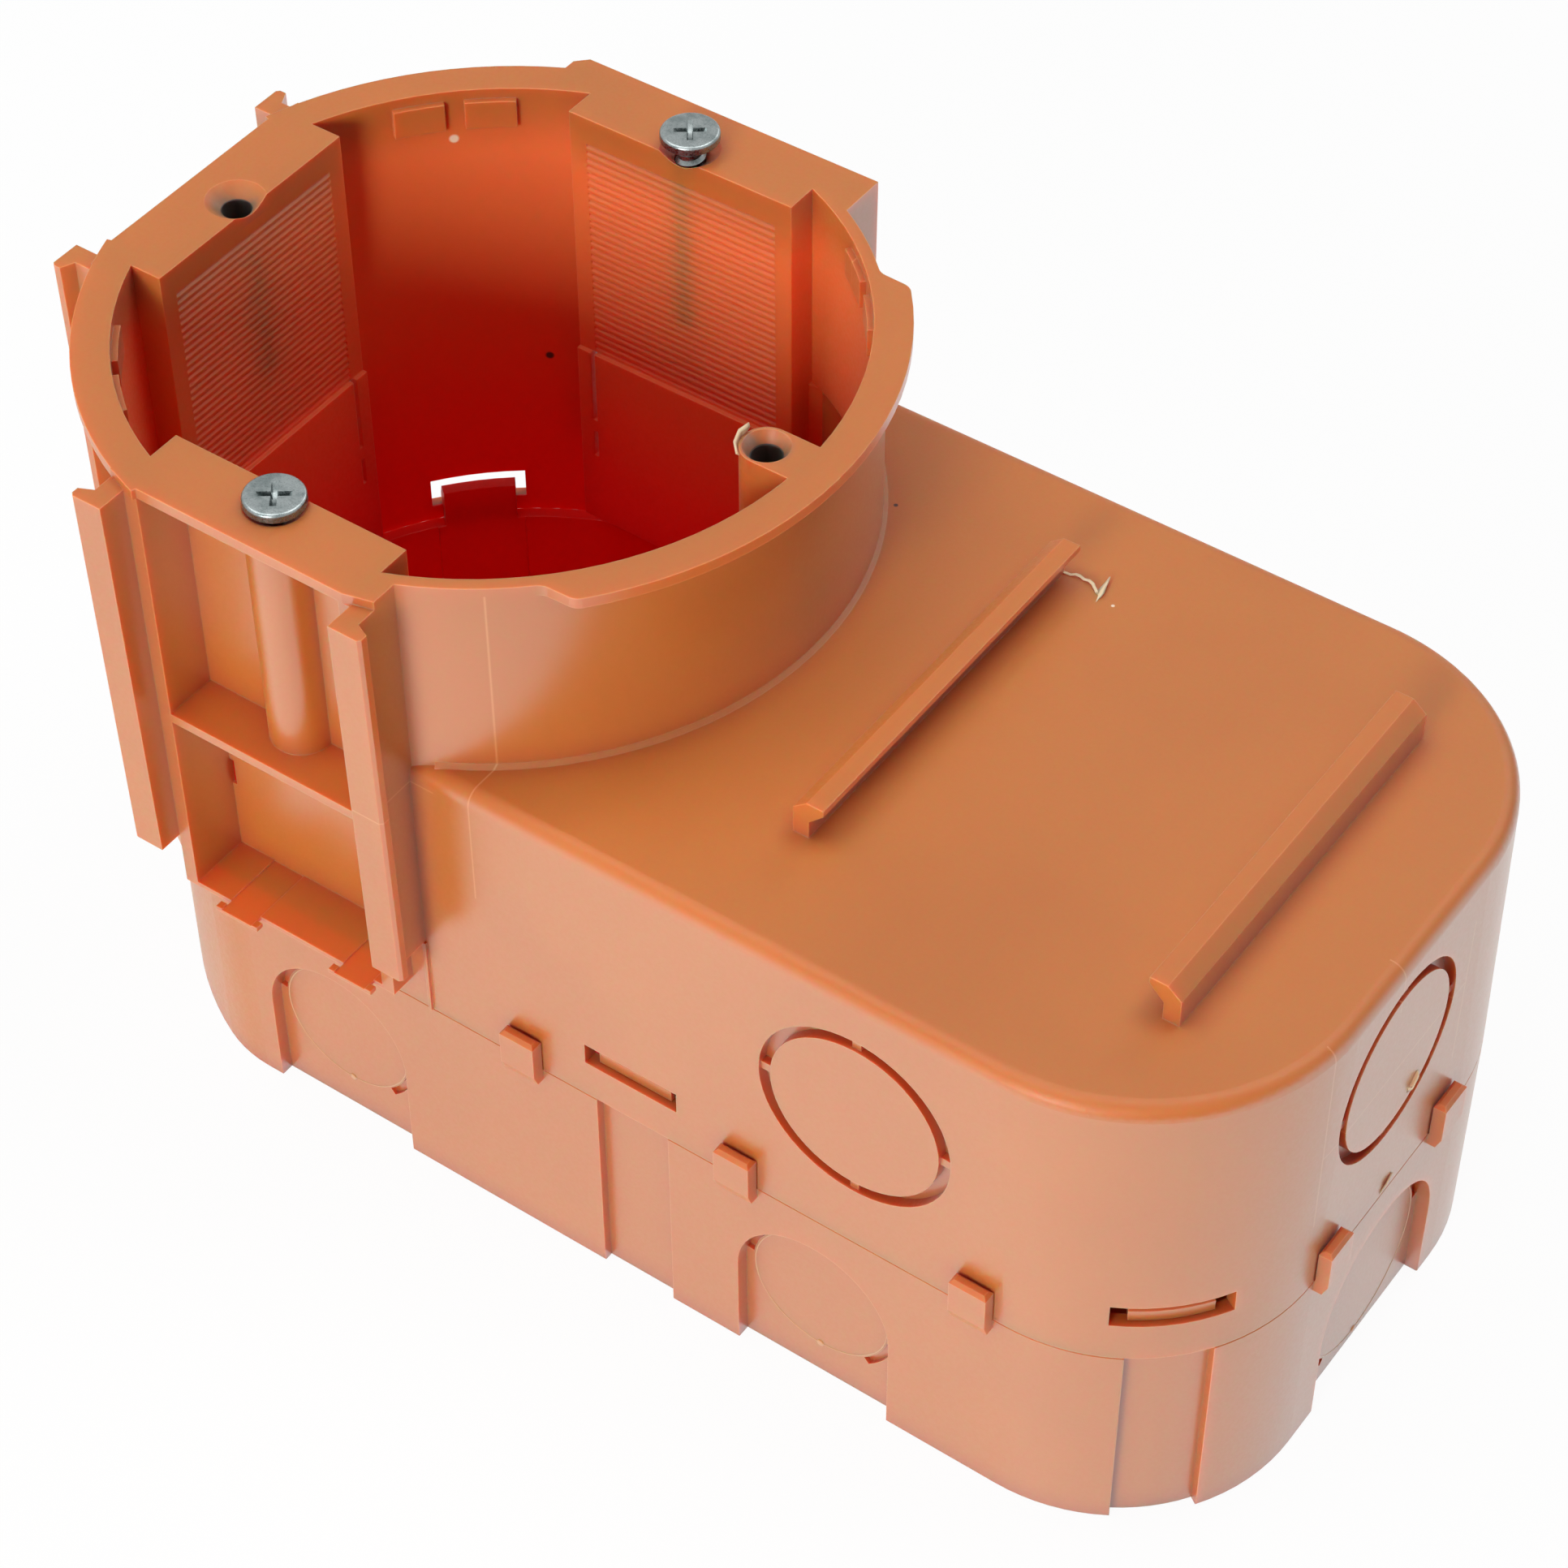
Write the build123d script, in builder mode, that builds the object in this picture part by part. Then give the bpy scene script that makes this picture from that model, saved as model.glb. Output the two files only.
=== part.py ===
from build123d import *
from math import asin, cos, degrees, hypot, isclose, radians, sin, sqrt
import os

# Flush-mounting junction box: a round device collar that runs into a deep side pocket. Two orange
# mouldings, an upper shell and a back tray, clip together at a seam, and two device screws sit in
# the collar's ears. The origin is on the collar axis at the flat back, +Z points out of the mouth,
# +X to the far end of the pocket and -Y to the side with the front screw. Millimetres.

# Heights above the flat back
box_height = 77.3
pocket_height = 56.1
seam_height = 23.9

# Collar and its rim
collar_radius = 35.2
collar_wall = 1.2
rim_thickness = 1.1
flange_overhang = 2.35
flange_half_angle = 41.5
flange_run_out = 6.0
flange_round = 1.5
collar_foot_bevel = 0.4
collar_foot_half_angle = 62.0

# Pocket
pocket_reach = 97.2
pocket_width = 64.9
pocket_corner_radius = 19.4
pocket_top_corner_radius = 21.4
pocket_wall = 1.5
pocket_roof = 1.8
pocket_edge_radius = 1.5

# Device screws, and the empty holes that take them on the other axis
screw_spacing = 60.0
screw_radius = 1.5
screw_length = 15.0
screw_tip_length = 1.2
screw_head_radius = 2.85
screw_head_height = 0.95
screw_head_edge = 0.35
screw_slot_length = 3.0
screw_slot_width = 0.6
screw_slot_depth = 0.4
screw_turn = 36.0
screw_clearance = 0.05
front_screw_gap = 0.2
rear_screw_gap = 1.2
hole_radius = 1.43
hole_depth = 20.0
hole_dish_depth = 1.2
ear_dish_radius = 2.9
boss_dish_radius = 2.2

# Ears: the flat, ribbed inner walls at +Y, -X and -Y
hole_cover = 0.45
ear_half_width = 12.8
ear_back = 1.7
rib_half_width = 10.9
rib_pitch = 0.82
rib_depth = 0.2
rib_width = 0.5
rib_top_drop = 1.5
screw_tube_radius = 3.1

# Frames outside the ears: stiles, a shelf and a bottom plate round two recesses
frame_overhang = 0.2
frame_lean = 0.2
frame_bottom_rise = 3.1
frame_plate = 0.5
recess_half_width = 11.2
shelf_height = 49.9
shelf_thickness = 1.0
lower_recess_extra = 1.0
lower_recess_wall = 1.2
slot_width = 0.5
slot_drops = ((0.0, 8.6), (10.1, 13.3))
frame_corner_run = 2.9
frame_corner_drop = 0.7

# Catches on the edge of the bottom plate
catch_offsets = (-8.35, 5.3)
catch_width = 5.0
catch_neck_width = 3.6
catch_reach = 1.35
catch_lip = 0.8
catch_channel_depth = 0.15

# Thin rib on the front wall, under the corner of the frame
wall_rib_width = 0.35
wall_rib_depth = 0.3
wall_rib_height = 9.2

# Coupling rails on two frames, and the channels on the third that take a neighbour's rails
rail_inner = 12.6
rail_neck_width = 2.0
rail_lip = 1.4
rail_lip_end = 0.7
rail_lip_slope = 0.65
rail_reach = 3.05
rail_edge = 0.3
rail_lean = 0.75
rail_top_drop = 0.9
rail_bottom = 33.2
channel_clearance = 0.3
channel_wall = 0.9
channel_lip_thickness = 1.0
channel_corner = 1.15
rear_overhang = 0.4

# Screw boss over the pocket side of the collar
boss_half_width = 2.45

# Small pads under the rim, two at each diagonal
pad_angles = (5.1, -6.6)
pad_width = 5.2
pad_height = 3.0
pad_depth = 0.6

# Rails on the pocket roof
roof_rail_from_collar = 11.3
roof_rail_from_end = 12.1
roof_rail_shift = 0.65
roof_rail_length = 40.5
roof_rail_height = 4.1
roof_rail_stem = 1.65
roof_rail_lip = 1.5
roof_rail_lip_end = 0.65
roof_rail_slope_run = 1.4
roof_rail_slope_drop = 1.15

# Knock-outs in the upper shell
knockout_radius = 9.9
knockout_gap = 1.2
knockout_depth = 1.15
knockout_web = 0.9
knockout_web_drop = 0.35
side_knockout_to_corner = 16.0
side_knockout_height = 40.9
end_knockout_offset = -2.2
end_knockout_height = 43.2

# Latches: window in the shell, tongue and barb on the tray, band below in the tray's wall
latch_x = 37.7
latch_angle = 46.0
window_half_width = 5.1
window_sill = 4.4
window_height = 2.5
corner_window_half_width = 5.6
collar_window_sill = 1.8
collar_window_height = 3.4
tongue_half_width = 4.0
tongue_thickness = 1.3
tongue_clearance = 0.12
tongue_slit = 0.5
collar_tongue_slit = 0.75
barb_set_back = 0.75
barb_clearance = 0.1
barb_face = 1.2
barb_below_top = 0.1
band_depth = 0.95

# Clip tabs that stand up from the tray outside the shell
tab_width = 3.8
tab_height = 4.2
tab_foot = 1.3
tab_foot_reach = 0.9
tab_thickness = 1.3
tab_clearance = 0.12
tab_edge = 0.35
tab_pitch = 12.0
last_tab_to_corner = 3.05
end_tab_offsets = (-11.0, 9.2)

# Tray
tray_inset = 1.0
tray_crease_round = 14.0
tray_edge_radius = 0.2
tray_wall = 1.5
tray_floor = 1.6
seam_bevel = 0.2
pad_margin = 0.9

# Knock-out arches in the tray
arch_half_width = 8.3
arch_height = 11.3
arch_depth = 1.4
arch_backing = 1.2
arch_groove_width = 0.8
arch_groove_depth = 0.5
arch_groove_arcs = ((100.0, 72.0), (-50.0, 36.0))
near_arch_x = 2.0
far_arch_to_corner = 20.2
end_arch_offset = 0.8
end_arch_half_width = 9.9
end_arch_height = 9.7
end_arch_groove_arcs = ((8.0, 72.0), (194.0, 36.0))

# Worked out from the sizes above
screw_reach = screw_spacing / 2
collar_bore = collar_radius - collar_wall
flange_radius = collar_radius + flange_overhang
pocket_half = pocket_width / 2
corner_x = pocket_reach - pocket_corner_radius
corner_y = pocket_half - pocket_corner_radius
pocket_ceiling = pocket_height - pocket_roof
rim_underside = box_height - rim_thickness
ear_face = screw_reach - hole_radius - hole_cover
upper_back = ear_face + ear_back
lower_back = upper_back - lower_recess_extra
lower_face = lower_back - lower_recess_wall
frame_front = collar_radius + frame_overhang
rear_front = frame_front + rear_overhang
frame_bottom = seam_height + frame_bottom_rise
plate_top = frame_bottom + frame_plate
shelf_underside = shelf_height - shelf_thickness
rail_top = box_height - rail_top_drop
rail_run = rail_top - rail_bottom
rail_neck_outer = rail_inner + rail_neck_width
channel_outer = rail_neck_outer + rail_lip + channel_clearance
channel_half_width = channel_outer + channel_wall
channel_stile = rail_inner - channel_clearance
window_bottom = seam_height + window_sill
window_top = window_bottom + window_height
collar_window_bottom = seam_height + collar_window_sill
collar_window_top = collar_window_bottom + collar_window_height
tab_top = seam_height + tab_height
side_knockout_x = corner_x - side_knockout_to_corner
tab_places = (latch_x - tab_pitch, latch_x + tab_pitch, corner_x - last_tab_to_corner)
arch_places = (near_arch_x, corner_x - far_arch_to_corner)
side_arch = (arch_half_width, arch_height, arch_groove_arcs)
end_arch = (end_arch_half_width, end_arch_height, end_arch_groove_arcs)
sides = (-1, 1)
front, left, rear = 270, 180, 90
ear_headings = (front, left, rear)
railed_headings = (front, left)
diagonals = (45, 135, 225, 315)
far_diagonals = (135, 225)
tray_radius = collar_radius - tray_inset
pocket_latch = (pocket_wall, 0, window_bottom, window_top, window_top - tongue_slit)
collar_tongue_top = collar_window_top - collar_tongue_slit
collar_latch = (collar_wall, tray_inset, collar_window_bottom, collar_window_top, collar_tongue_top)
pocket_latches = (
    *(("flat", side, window_half_width, *pocket_latch) for side in sides),
    *(("corner", side, corner_window_half_width, *pocket_latch) for side in sides),
)
latches = (*pocket_latches, *(("collar", angle, window_half_width, *collar_latch) for angle in far_diagonals))


def ear_plan(heading, height):
    """Level plane of an ear: x runs along the ear, y points out of the box."""
    turn = radians(heading)
    return Plane(origin=(0, 0, height), x_dir=(sin(turn), -cos(turn), 0), z_dir=(0, 0, 1))


def ear_section(heading):
    """Upright plane through the middle of an ear: x points out of the box, y points up."""
    turn = radians(heading)
    return Plane(origin=(0, 0, 0), x_dir=(cos(turn), sin(turn), 0), z_dir=(sin(turn), -cos(turn), 0))


def on_circle(radius, angle):
    """Point of the plan at a radius and an angle about the collar axis."""
    return (radius * cos(radians(angle)), radius * sin(radians(angle)))


def box_plan(inset, radius):
    """Plan of the box walls: the collar circle run into the round-cornered pocket, with flat sides."""
    reach = pocket_reach - inset
    half = pocket_half - inset
    with BuildSketch() as plan:
        with Locations((reach / 2, 0)):
            Rectangle(reach, 2 * half)
        fillet(plan.vertices().group_by(Axis.X)[-1], pocket_corner_radius - inset)
        Circle(radius)
        with Locations(((reach - half) / 2, 0)):
            Rectangle(reach + half, 2 * half, mode=Mode.INTERSECT)
    return plan.sketch


def tray_plan(inset):
    """Plan of the tray, whose round end is a little smaller than the collar and runs softly into its sides."""
    with BuildSketch() as plan:
        add(box_plan(inset, tray_radius - inset))
        if tray_radius > pocket_half:
            fillet(plan.vertices().filter_by(lambda corner: corner.X < 0), tray_crease_round - inset)
    return plan.sketch


def pocket_outline(corner_radius):
    """Plan of the pocket's round-cornered end, run past the collar on the other side."""
    length = pocket_reach + flange_radius
    with BuildSketch() as plan:
        with Locations((pocket_reach - length / 2, 0)):
            Rectangle(length, pocket_width)
        fillet(plan.vertices().group_by(Axis.X)[-1], corner_radius)
    return plan.sketch


def without_ears(plan, face):
    """A plan of the room inside, less the three ears that stand in it from a given face outwards."""
    depth = collar_radius
    with BuildSketch() as room:
        add(plan)
        with PolarLocations(face + depth / 2, len(ear_headings), rear, front - rear, endpoint=True):
            Rectangle(depth, 2 * ear_half_width, mode=Mode.SUBTRACT)
    return room.sketch


def collar_plan():
    """Plan of the round room in the collar."""
    with BuildSketch() as plan:
        Circle(collar_bore)
    return plan.sketch


def flange_plan(start, end, run_out):
    """Plan of a stretch of rim flange, as a slice whose sides lean out over the run-out."""
    with BuildSketch() as plan:
        with BuildLine():
            edge = CenterArc((0, 0), flange_radius, start, end - start)
            foot = on_circle(collar_bore, end + run_out)
            head = on_circle(collar_bore, start - run_out)
            Polyline(edge @ 1, foot, (0, 0), head, edge @ 0)
        make_face()
    return plan.sketch


def ear_plate_plan(half_width, run, drop):
    """Plan of the rim plate over an ear, in the ear's own plane, with its front corners cut off."""
    with BuildSketch() as plan:
        with BuildLine():
            Polyline(
                (-half_width, 0),
                (-half_width, frame_front - drop),
                (run - half_width, frame_front),
                (half_width - run, frame_front),
                (half_width, frame_front - drop),
                (half_width, 0),
                close=True,
            )
        make_face()
    return plan.sketch


def rear_plate_plan():
    """Plan of the rim plate over the rear ear and its channels, with one front corner cut off."""
    with BuildSketch() as plan:
        with BuildLine():
            Polyline(
                (-channel_half_width, 0),
                (-channel_half_width, rear_front - channel_corner),
                (channel_corner - channel_half_width, rear_front),
                (channel_half_width, rear_front),
                (channel_half_width, 0),
                close=True,
            )
        make_face()
    return plan.sketch


def rail_plan():
    """Plan of one coupling rail in its ear's plane: a neck on the wall and a head with an outer lip."""
    root = sqrt(collar_bore**2 - rail_neck_outer**2)
    head_outer = rail_neck_outer + rail_lip
    head_front = frame_front + rail_reach
    lip_front = head_front - rail_edge
    lip_back = lip_front - rail_lip_end
    with BuildSketch() as plan:
        with BuildLine():
            Polyline(
                (rail_inner, root),
                (rail_neck_outer, root),
                (rail_neck_outer, lip_back - rail_lip_slope),
                (head_outer, lip_back),
                (head_outer, lip_front),
                (head_outer - rail_edge, head_front),
                (rail_inner, head_front),
                close=True,
            )
        make_face()
    return plan.sketch


def channel_plan():
    """Plan of one channel wall in its ear's plane, with the lip that holds a neighbour's rail."""
    root = sqrt((collar_radius - collar_wall / 2) ** 2 - channel_half_width**2)
    lip_end = rail_neck_outer + channel_clearance
    with BuildSketch() as plan:
        with BuildLine():
            Polyline(
                (channel_outer, root),
                (channel_outer, rear_front - channel_lip_thickness),
                (lip_end, rear_front - channel_lip_thickness),
                (lip_end, rear_front),
                (channel_half_width, rear_front),
                (channel_half_width, root),
                close=True,
            )
        make_face()
    return plan.sketch


def flat_strip(x, side, half_width, near, far):
    """Plan of a strip along a long wall, between two depths below the wall's outer face."""
    with BuildSketch() as plan:
        with Locations((x, side * (pocket_half - (near + far) / 2))):
            Rectangle(2 * half_width, far - near)
    return plan.sketch


def end_strip(y, half_width, near, far):
    """Plan of a strip along the pocket's end wall, between two depths below its outer face."""
    with BuildSketch() as plan:
        with Locations((pocket_reach - (near + far) / 2, y)):
            Rectangle(far - near, 2 * half_width)
    return plan.sketch


def round_strip(centre, radius, angle, half_width, near, far):
    """Plan of a strip along a round wall, between two depths below the wall's outer face."""
    spread = degrees(half_width / radius)
    with BuildSketch() as plan:
        with BuildLine():
            outer = CenterArc(centre, radius - near, angle - spread, 2 * spread)
            inner = CenterArc(centre, radius - far, angle - spread, 2 * spread)
            Line(outer @ 0, inner @ 0)
            Line(outer @ 1, inner @ 1)
        make_face()
    return plan.sketch


def latch_strip(kind, turn, half_width, near, far):
    """Plan of a strip at one latch, between two depths below its wall's outer face."""
    if kind == "flat":
        return flat_strip(latch_x, turn, half_width, near, far)
    if kind == "corner":
        corner = (corner_x, turn * corner_y)
        return round_strip(corner, pocket_corner_radius, turn * latch_angle, half_width, near, far)
    return round_strip((0, 0), collar_radius, turn, half_width, near, far)


def tab_strips(near, far):
    """Plans of all the clip tabs, one by one, between two depths below the walls' outer faces."""
    strips = [flat_strip(x, side, tab_width / 2, near, far) for x in tab_places for side in sides]
    strips += [end_strip(y, tab_width / 2, near, far) for y in end_tab_offsets]
    return strips


def ring_plan():
    """Face view of the ring round a knock-out's disc."""
    with BuildSketch() as plan:
        Circle(knockout_radius)
        Circle(knockout_radius - knockout_gap, mode=Mode.SUBTRACT)
    return plan.sketch


def knockout_plan():
    """Face view of a knock-out's ring, broken by four webs."""
    with BuildSketch() as plan:
        add(ring_plan())
        across = 2 * (knockout_radius + knockout_gap)
        Rectangle(across, knockout_web, mode=Mode.SUBTRACT)
        Rectangle(knockout_web, across, mode=Mode.SUBTRACT)
    return plan.sketch


def arch_plan(half_width, height):
    """Face view of a tray arch: a round head on straight sides that run down to the back edge."""
    with BuildSketch() as plan:
        with Locations((0, height)):
            Circle(half_width)
        with Locations((0, height / 2)):
            Rectangle(2 * half_width, height)
        with Locations((0, -half_width)):
            Rectangle(2 * half_width, 2 * half_width, mode=Mode.SUBTRACT)
    return plan.sketch


def arch_groove_plan(half_width, height, arcs):
    """Face view of the grooves round an arch's disc."""
    with BuildSketch() as plan:
        for start, sweep in arcs:
            with BuildLine():
                outer = CenterArc((0, height), half_width, start, sweep)
                inner = CenterArc((0, height), half_width - arch_groove_width, start, sweep)
                Line(outer @ 0, inner @ 0)
                Line(outer @ 1, inner @ 1)
            make_face()
    return plan.sketch


def side_face(x, side, height, depth):
    """Upright plane on a long wall, a depth below its face, looking out of the box; y points up."""
    return Plane(origin=(x, side * (pocket_half - depth), height), x_dir=(-side, 0, 0), z_dir=(0, side, 0))


def end_face(y, height, depth):
    """Upright plane on the pocket's end wall, a depth below its face, looking out; y points up."""
    return Plane(origin=(pocket_reach - depth, y, height), x_dir=(0, 1, 0), z_dir=(1, 0, 0))


def knockout_faces(depth):
    """Planes of the upper shell's knock-outs, a depth below the walls' outer faces."""
    planes = [side_face(side_knockout_x, side, side_knockout_height, depth) for side in sides]
    planes.append(end_face(end_knockout_offset, end_knockout_height, depth))
    return planes


def arch_faces(depth):
    """Planes of the tray's arches, a depth below the walls' outer faces, each with the arch's sizes."""
    arches = [(side_face(x, side, 0, depth), *side_arch) for x in arch_places for side in sides]
    arches.append((end_face(end_arch_offset, 0, depth), *end_arch))
    return arches


# Upper shell
with BuildPart() as upper_shell:
    # Pocket block, with corners that widen towards the roof and its roof edge rounded
    with BuildSketch(Plane.XY.offset(seam_height)):
        add(box_plan(0, collar_radius))
    extrude(amount=pocket_height - seam_height)
    with BuildSketch(Plane.XY.offset(seam_height)):
        add(pocket_outline(pocket_corner_radius))
    with BuildSketch(Plane.XY.offset(pocket_height)):
        add(pocket_outline(pocket_top_corner_radius))
    loft(mode=Mode.INTERSECT)
    fillet(upper_shell.faces().sort_by(Axis.Z)[-1].edges(), pocket_edge_radius)

    # Collar wall, from under the rounded roof edge up, with a small bevel where it meets the roof
    collar_foot = pocket_height - 2 * pocket_edge_radius
    with BuildSketch(Plane.XY.offset(collar_foot)):
        Circle(collar_radius)
    extrude(amount=box_height - collar_foot)
    with BuildSketch(ear_section(-collar_foot_half_angle)):
        with BuildLine():
            Polyline(
                (collar_bore, pocket_height - collar_foot_bevel),
                (collar_radius + collar_foot_bevel, pocket_height - collar_foot_bevel),
                (collar_radius + collar_foot_bevel, pocket_height),
                (collar_radius, pocket_height + collar_foot_bevel),
                (collar_bore, pocket_height + collar_foot_bevel),
                close=True,
            )
        make_face()
    revolve(axis=Axis.Z, revolution_arc=2 * collar_foot_half_angle)

    # Frame blocks outside the ears, leaning back towards the bottom
    for heading in ear_headings:
        with BuildSketch(ear_section(heading)):
            with BuildLine():
                Polyline(
                    (lower_face - lower_recess_wall, frame_bottom),
                    (frame_front - frame_lean, frame_bottom),
                    (frame_front, rim_underside),
                    (lower_face - lower_recess_wall, rim_underside),
                    close=True,
                )
            make_face()
        extrude(amount=rail_inner if heading in railed_headings else channel_stile, both=True)

    # Channel walls on the rear frame
    with BuildSketch(ear_plan(rear, rim_underside)):
        add(channel_plan())
        mirror(about=Plane.YZ)
    channel_run = rim_underside - rail_bottom
    channel_lean = rail_lean * channel_run / rail_run
    extrude(amount=hypot(channel_run, channel_lean), dir=(0, -channel_lean, -channel_run))

    # Rim: flange round the collar and a plate over each ear
    with BuildSketch(Plane.XY.offset(rim_underside)) as rim:
        Circle(collar_radius)
        add(flange_plan(-flange_half_angle, flange_half_angle, flange_run_out))
        fillet(rim.vertices(), flange_round)
        plate_turn = degrees(asin(recess_half_width / flange_radius))
        add(flange_plan(rear + plate_turn, left - plate_turn, 0))
        add(flange_plan(left + plate_turn, front - plate_turn, 0))
        for heading in railed_headings:
            with Locations(Location((0, 0, 0), (0, 0, heading - rear))):
                add(ear_plate_plan(rail_neck_outer, frame_corner_run, frame_corner_drop))
        add(rear_plate_plan())
    extrude(amount=rim_thickness)

    # Coupling rails
    for heading in railed_headings:
        with BuildSketch(ear_plan(heading, rail_top)):
            add(rail_plan())
            mirror(about=Plane.YZ)
        inwards = on_circle(-rail_lean, heading)
        extrude(amount=hypot(rail_run, rail_lean), dir=(*inwards, -rail_run))

    # Room inside: under the frames, beside their lower and upper parts, and in the collar
    with BuildSketch(Plane.XY.offset(seam_height)):
        add(box_plan(pocket_wall, collar_bore))
    extrude(amount=frame_bottom - seam_height, mode=Mode.SUBTRACT)
    with BuildSketch(Plane.XY.offset(frame_bottom)):
        add(without_ears(box_plan(pocket_wall, collar_bore), lower_face))
    extrude(amount=shelf_underside - frame_bottom, mode=Mode.SUBTRACT)
    with BuildSketch(Plane.XY.offset(shelf_underside)):
        add(without_ears(box_plan(pocket_wall, collar_bore), ear_face))
    extrude(amount=pocket_ceiling - shelf_underside, mode=Mode.SUBTRACT)
    with BuildSketch(Plane.XY.offset(pocket_ceiling)):
        add(without_ears(collar_plan(), ear_face))
    extrude(amount=box_height - pocket_ceiling, mode=Mode.SUBTRACT)

    # Two recesses in each frame, above and below the shelf, then the screw tube in the upper one
    for heading in ear_headings:
        for back, low, high in ((upper_back, shelf_height, rim_underside), (lower_back, plate_top, shelf_underside)):
            with BuildSketch(ear_plan(heading, low)):
                with Locations((0, (back + flange_radius) / 2)):
                    Rectangle(2 * recess_half_width, flange_radius - back)
            extrude(amount=high - low, mode=Mode.SUBTRACT)
        with BuildSketch(ear_plan(heading, shelf_height)):
            with Locations((0, screw_reach)):
                Circle(screw_tube_radius)
            with Locations((0, ear_face - screw_tube_radius)):
                Rectangle(2 * screw_tube_radius, 2 * screw_tube_radius, mode=Mode.SUBTRACT)
        extrude(amount=rim_underside - shelf_height)

    # Slots beside the break-out panels in the lower walls of the ears
    for heading in ear_headings:
        for high, low in slot_drops:
            with BuildSketch(ear_plan(heading, shelf_underside - low)):
                slot_middle = recess_half_width - slot_width / 2
                with Locations((-slot_middle, lower_face), (slot_middle, lower_face)):
                    Rectangle(slot_width, 2 * (lower_back - lower_face))
            extrude(amount=low - high, mode=Mode.SUBTRACT)

    # Catches on the bottom plates: a narrow neck and a wider lip, with a shallow channel behind
    for heading in ear_headings:
        with BuildSketch(ear_plan(heading, frame_bottom)):
            plate_edge = frame_front - frame_lean
            with Locations([(offset, plate_edge) for offset in catch_offsets]):
                Rectangle(catch_neck_width, 2 * (catch_reach - catch_lip))
            lip_middle = plate_edge + catch_reach - catch_lip / 2
            with Locations([(offset, lip_middle) for offset in catch_offsets]):
                Rectangle(catch_width, catch_lip)
        extrude(amount=frame_plate)
        with BuildSketch(ear_plan(heading, plate_top - catch_channel_depth)):
            with Locations([(offset, (lower_back + flange_radius) / 2) for offset in catch_offsets]):
                Rectangle(catch_neck_width, flange_radius - lower_back)
        extrude(amount=catch_channel_depth, mode=Mode.SUBTRACT)

    # Thin rib on the front wall
    with BuildSketch(Plane.XY.offset(seam_height)):
        add(flat_strip(rail_neck_outer, -1, wall_rib_width / 2, -wall_rib_depth, pocket_wall / 2))
    extrude(amount=wall_rib_height)

    # Screw boss on the collar's pocket side
    with BuildSketch(Plane.XY.offset(pocket_ceiling)):
        with Locations((screw_reach, 0)):
            Circle(boss_half_width)
        with Locations(((screw_reach + collar_bore + collar_wall / 2) / 2, 0)):
            Rectangle(collar_bore + collar_wall / 2 - screw_reach, 2 * boss_half_width)
    extrude(amount=box_height - pocket_ceiling)

    # Small pads under the rim
    with BuildSketch(Plane.XY.offset(rim_underside - pad_height)):
        for diagonal in diagonals:
            for turn in pad_angles:
                strip_end = collar_wall + pad_depth
                add(round_strip((0, 0), collar_radius, diagonal + turn, pad_width / 2, collar_wall / 2, strip_end))
    extrude(amount=pad_height)

    # Holes for the device screws, empty holes on the other axis, and a dish round each
    with BuildSketch(Plane.XY.offset(box_height)):
        with Locations((0, -screw_reach), (0, screw_reach)):
            Circle(screw_radius + screw_clearance)
        with Locations((-screw_reach, 0), (screw_reach, 0)):
            Circle(hole_radius)
    extrude(amount=-hole_depth, mode=Mode.SUBTRACT)
    dishes = [(on_circle(screw_reach, heading), ear_dish_radius) for heading in ear_headings]
    for place, dish_radius in (*dishes, ((screw_reach, 0), boss_dish_radius)):
        with BuildSketch(Plane.XY.offset(box_height)):
            with Locations(place):
                Circle(dish_radius)
        with BuildSketch(Plane.XY.offset(box_height - hole_dish_depth)):
            with Locations(place):
                Circle(hole_radius)
        loft(mode=Mode.SUBTRACT)

    # Fine level grooves between the ribs of the ears
    rib_span = rim_underside - rib_top_drop - shelf_underside
    rib_count = int(rib_span / rib_pitch)
    for heading in ear_headings:
        with BuildSketch(ear_section(heading)):
            with GridLocations(0, rib_pitch, 1, rib_count):
                with Locations((ear_face, shelf_underside + rib_span / 2)):
                    Polygon((-rib_depth, -rib_width), (rib_depth, 0), (-rib_depth, rib_width), align=None)
        extrude(amount=rib_half_width, both=True, mode=Mode.SUBTRACT)

    # Rails on the pocket roof, their lips facing each other
    first_rail = collar_radius + roof_rail_from_collar
    last_rail = pocket_reach - roof_rail_from_end
    roof_rail_root = pocket_height - pocket_roof / 2
    roof_rail_top = pocket_height + roof_rail_height
    roof_rail_lip_low = roof_rail_top - roof_rail_lip_end
    for foot, way in ((first_rail, 1), (last_rail, -1)):
        stem = foot + way * roof_rail_stem
        lip = stem + way * roof_rail_lip
        with BuildSketch(Plane.XZ.offset(-roof_rail_shift)):
            with BuildLine():
                Polyline(
                    (foot, roof_rail_root),
                    (foot, roof_rail_top - roof_rail_slope_drop),
                    (foot + way * roof_rail_slope_run, roof_rail_top),
                    (lip, roof_rail_top),
                    (lip, roof_rail_lip_low),
                    (stem, roof_rail_lip_low - roof_rail_lip),
                    (stem, roof_rail_root),
                    close=True,
                )
            make_face()
        extrude(amount=roof_rail_length / 2, both=True)

    # Knock-out rings, cut most of the way through the walls, with webs that stand below the face
    for plane in knockout_faces(knockout_web_drop):
        with BuildSketch(plane):
            add(ring_plan())
        extrude(amount=2 * knockout_web_drop, mode=Mode.SUBTRACT)
    for plane in knockout_faces(knockout_depth):
        with BuildSketch(plane):
            add(knockout_plan())
        extrude(amount=2 * knockout_depth, mode=Mode.SUBTRACT)

    # Latch windows
    for kind, turn, window_half, wall, _, low, high, _ in latches:
        with BuildSketch(Plane.XY.offset(low)):
            add(latch_strip(kind, turn, window_half, -tongue_clearance, wall + tongue_clearance))
        extrude(amount=high - low, mode=Mode.SUBTRACT)

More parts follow.
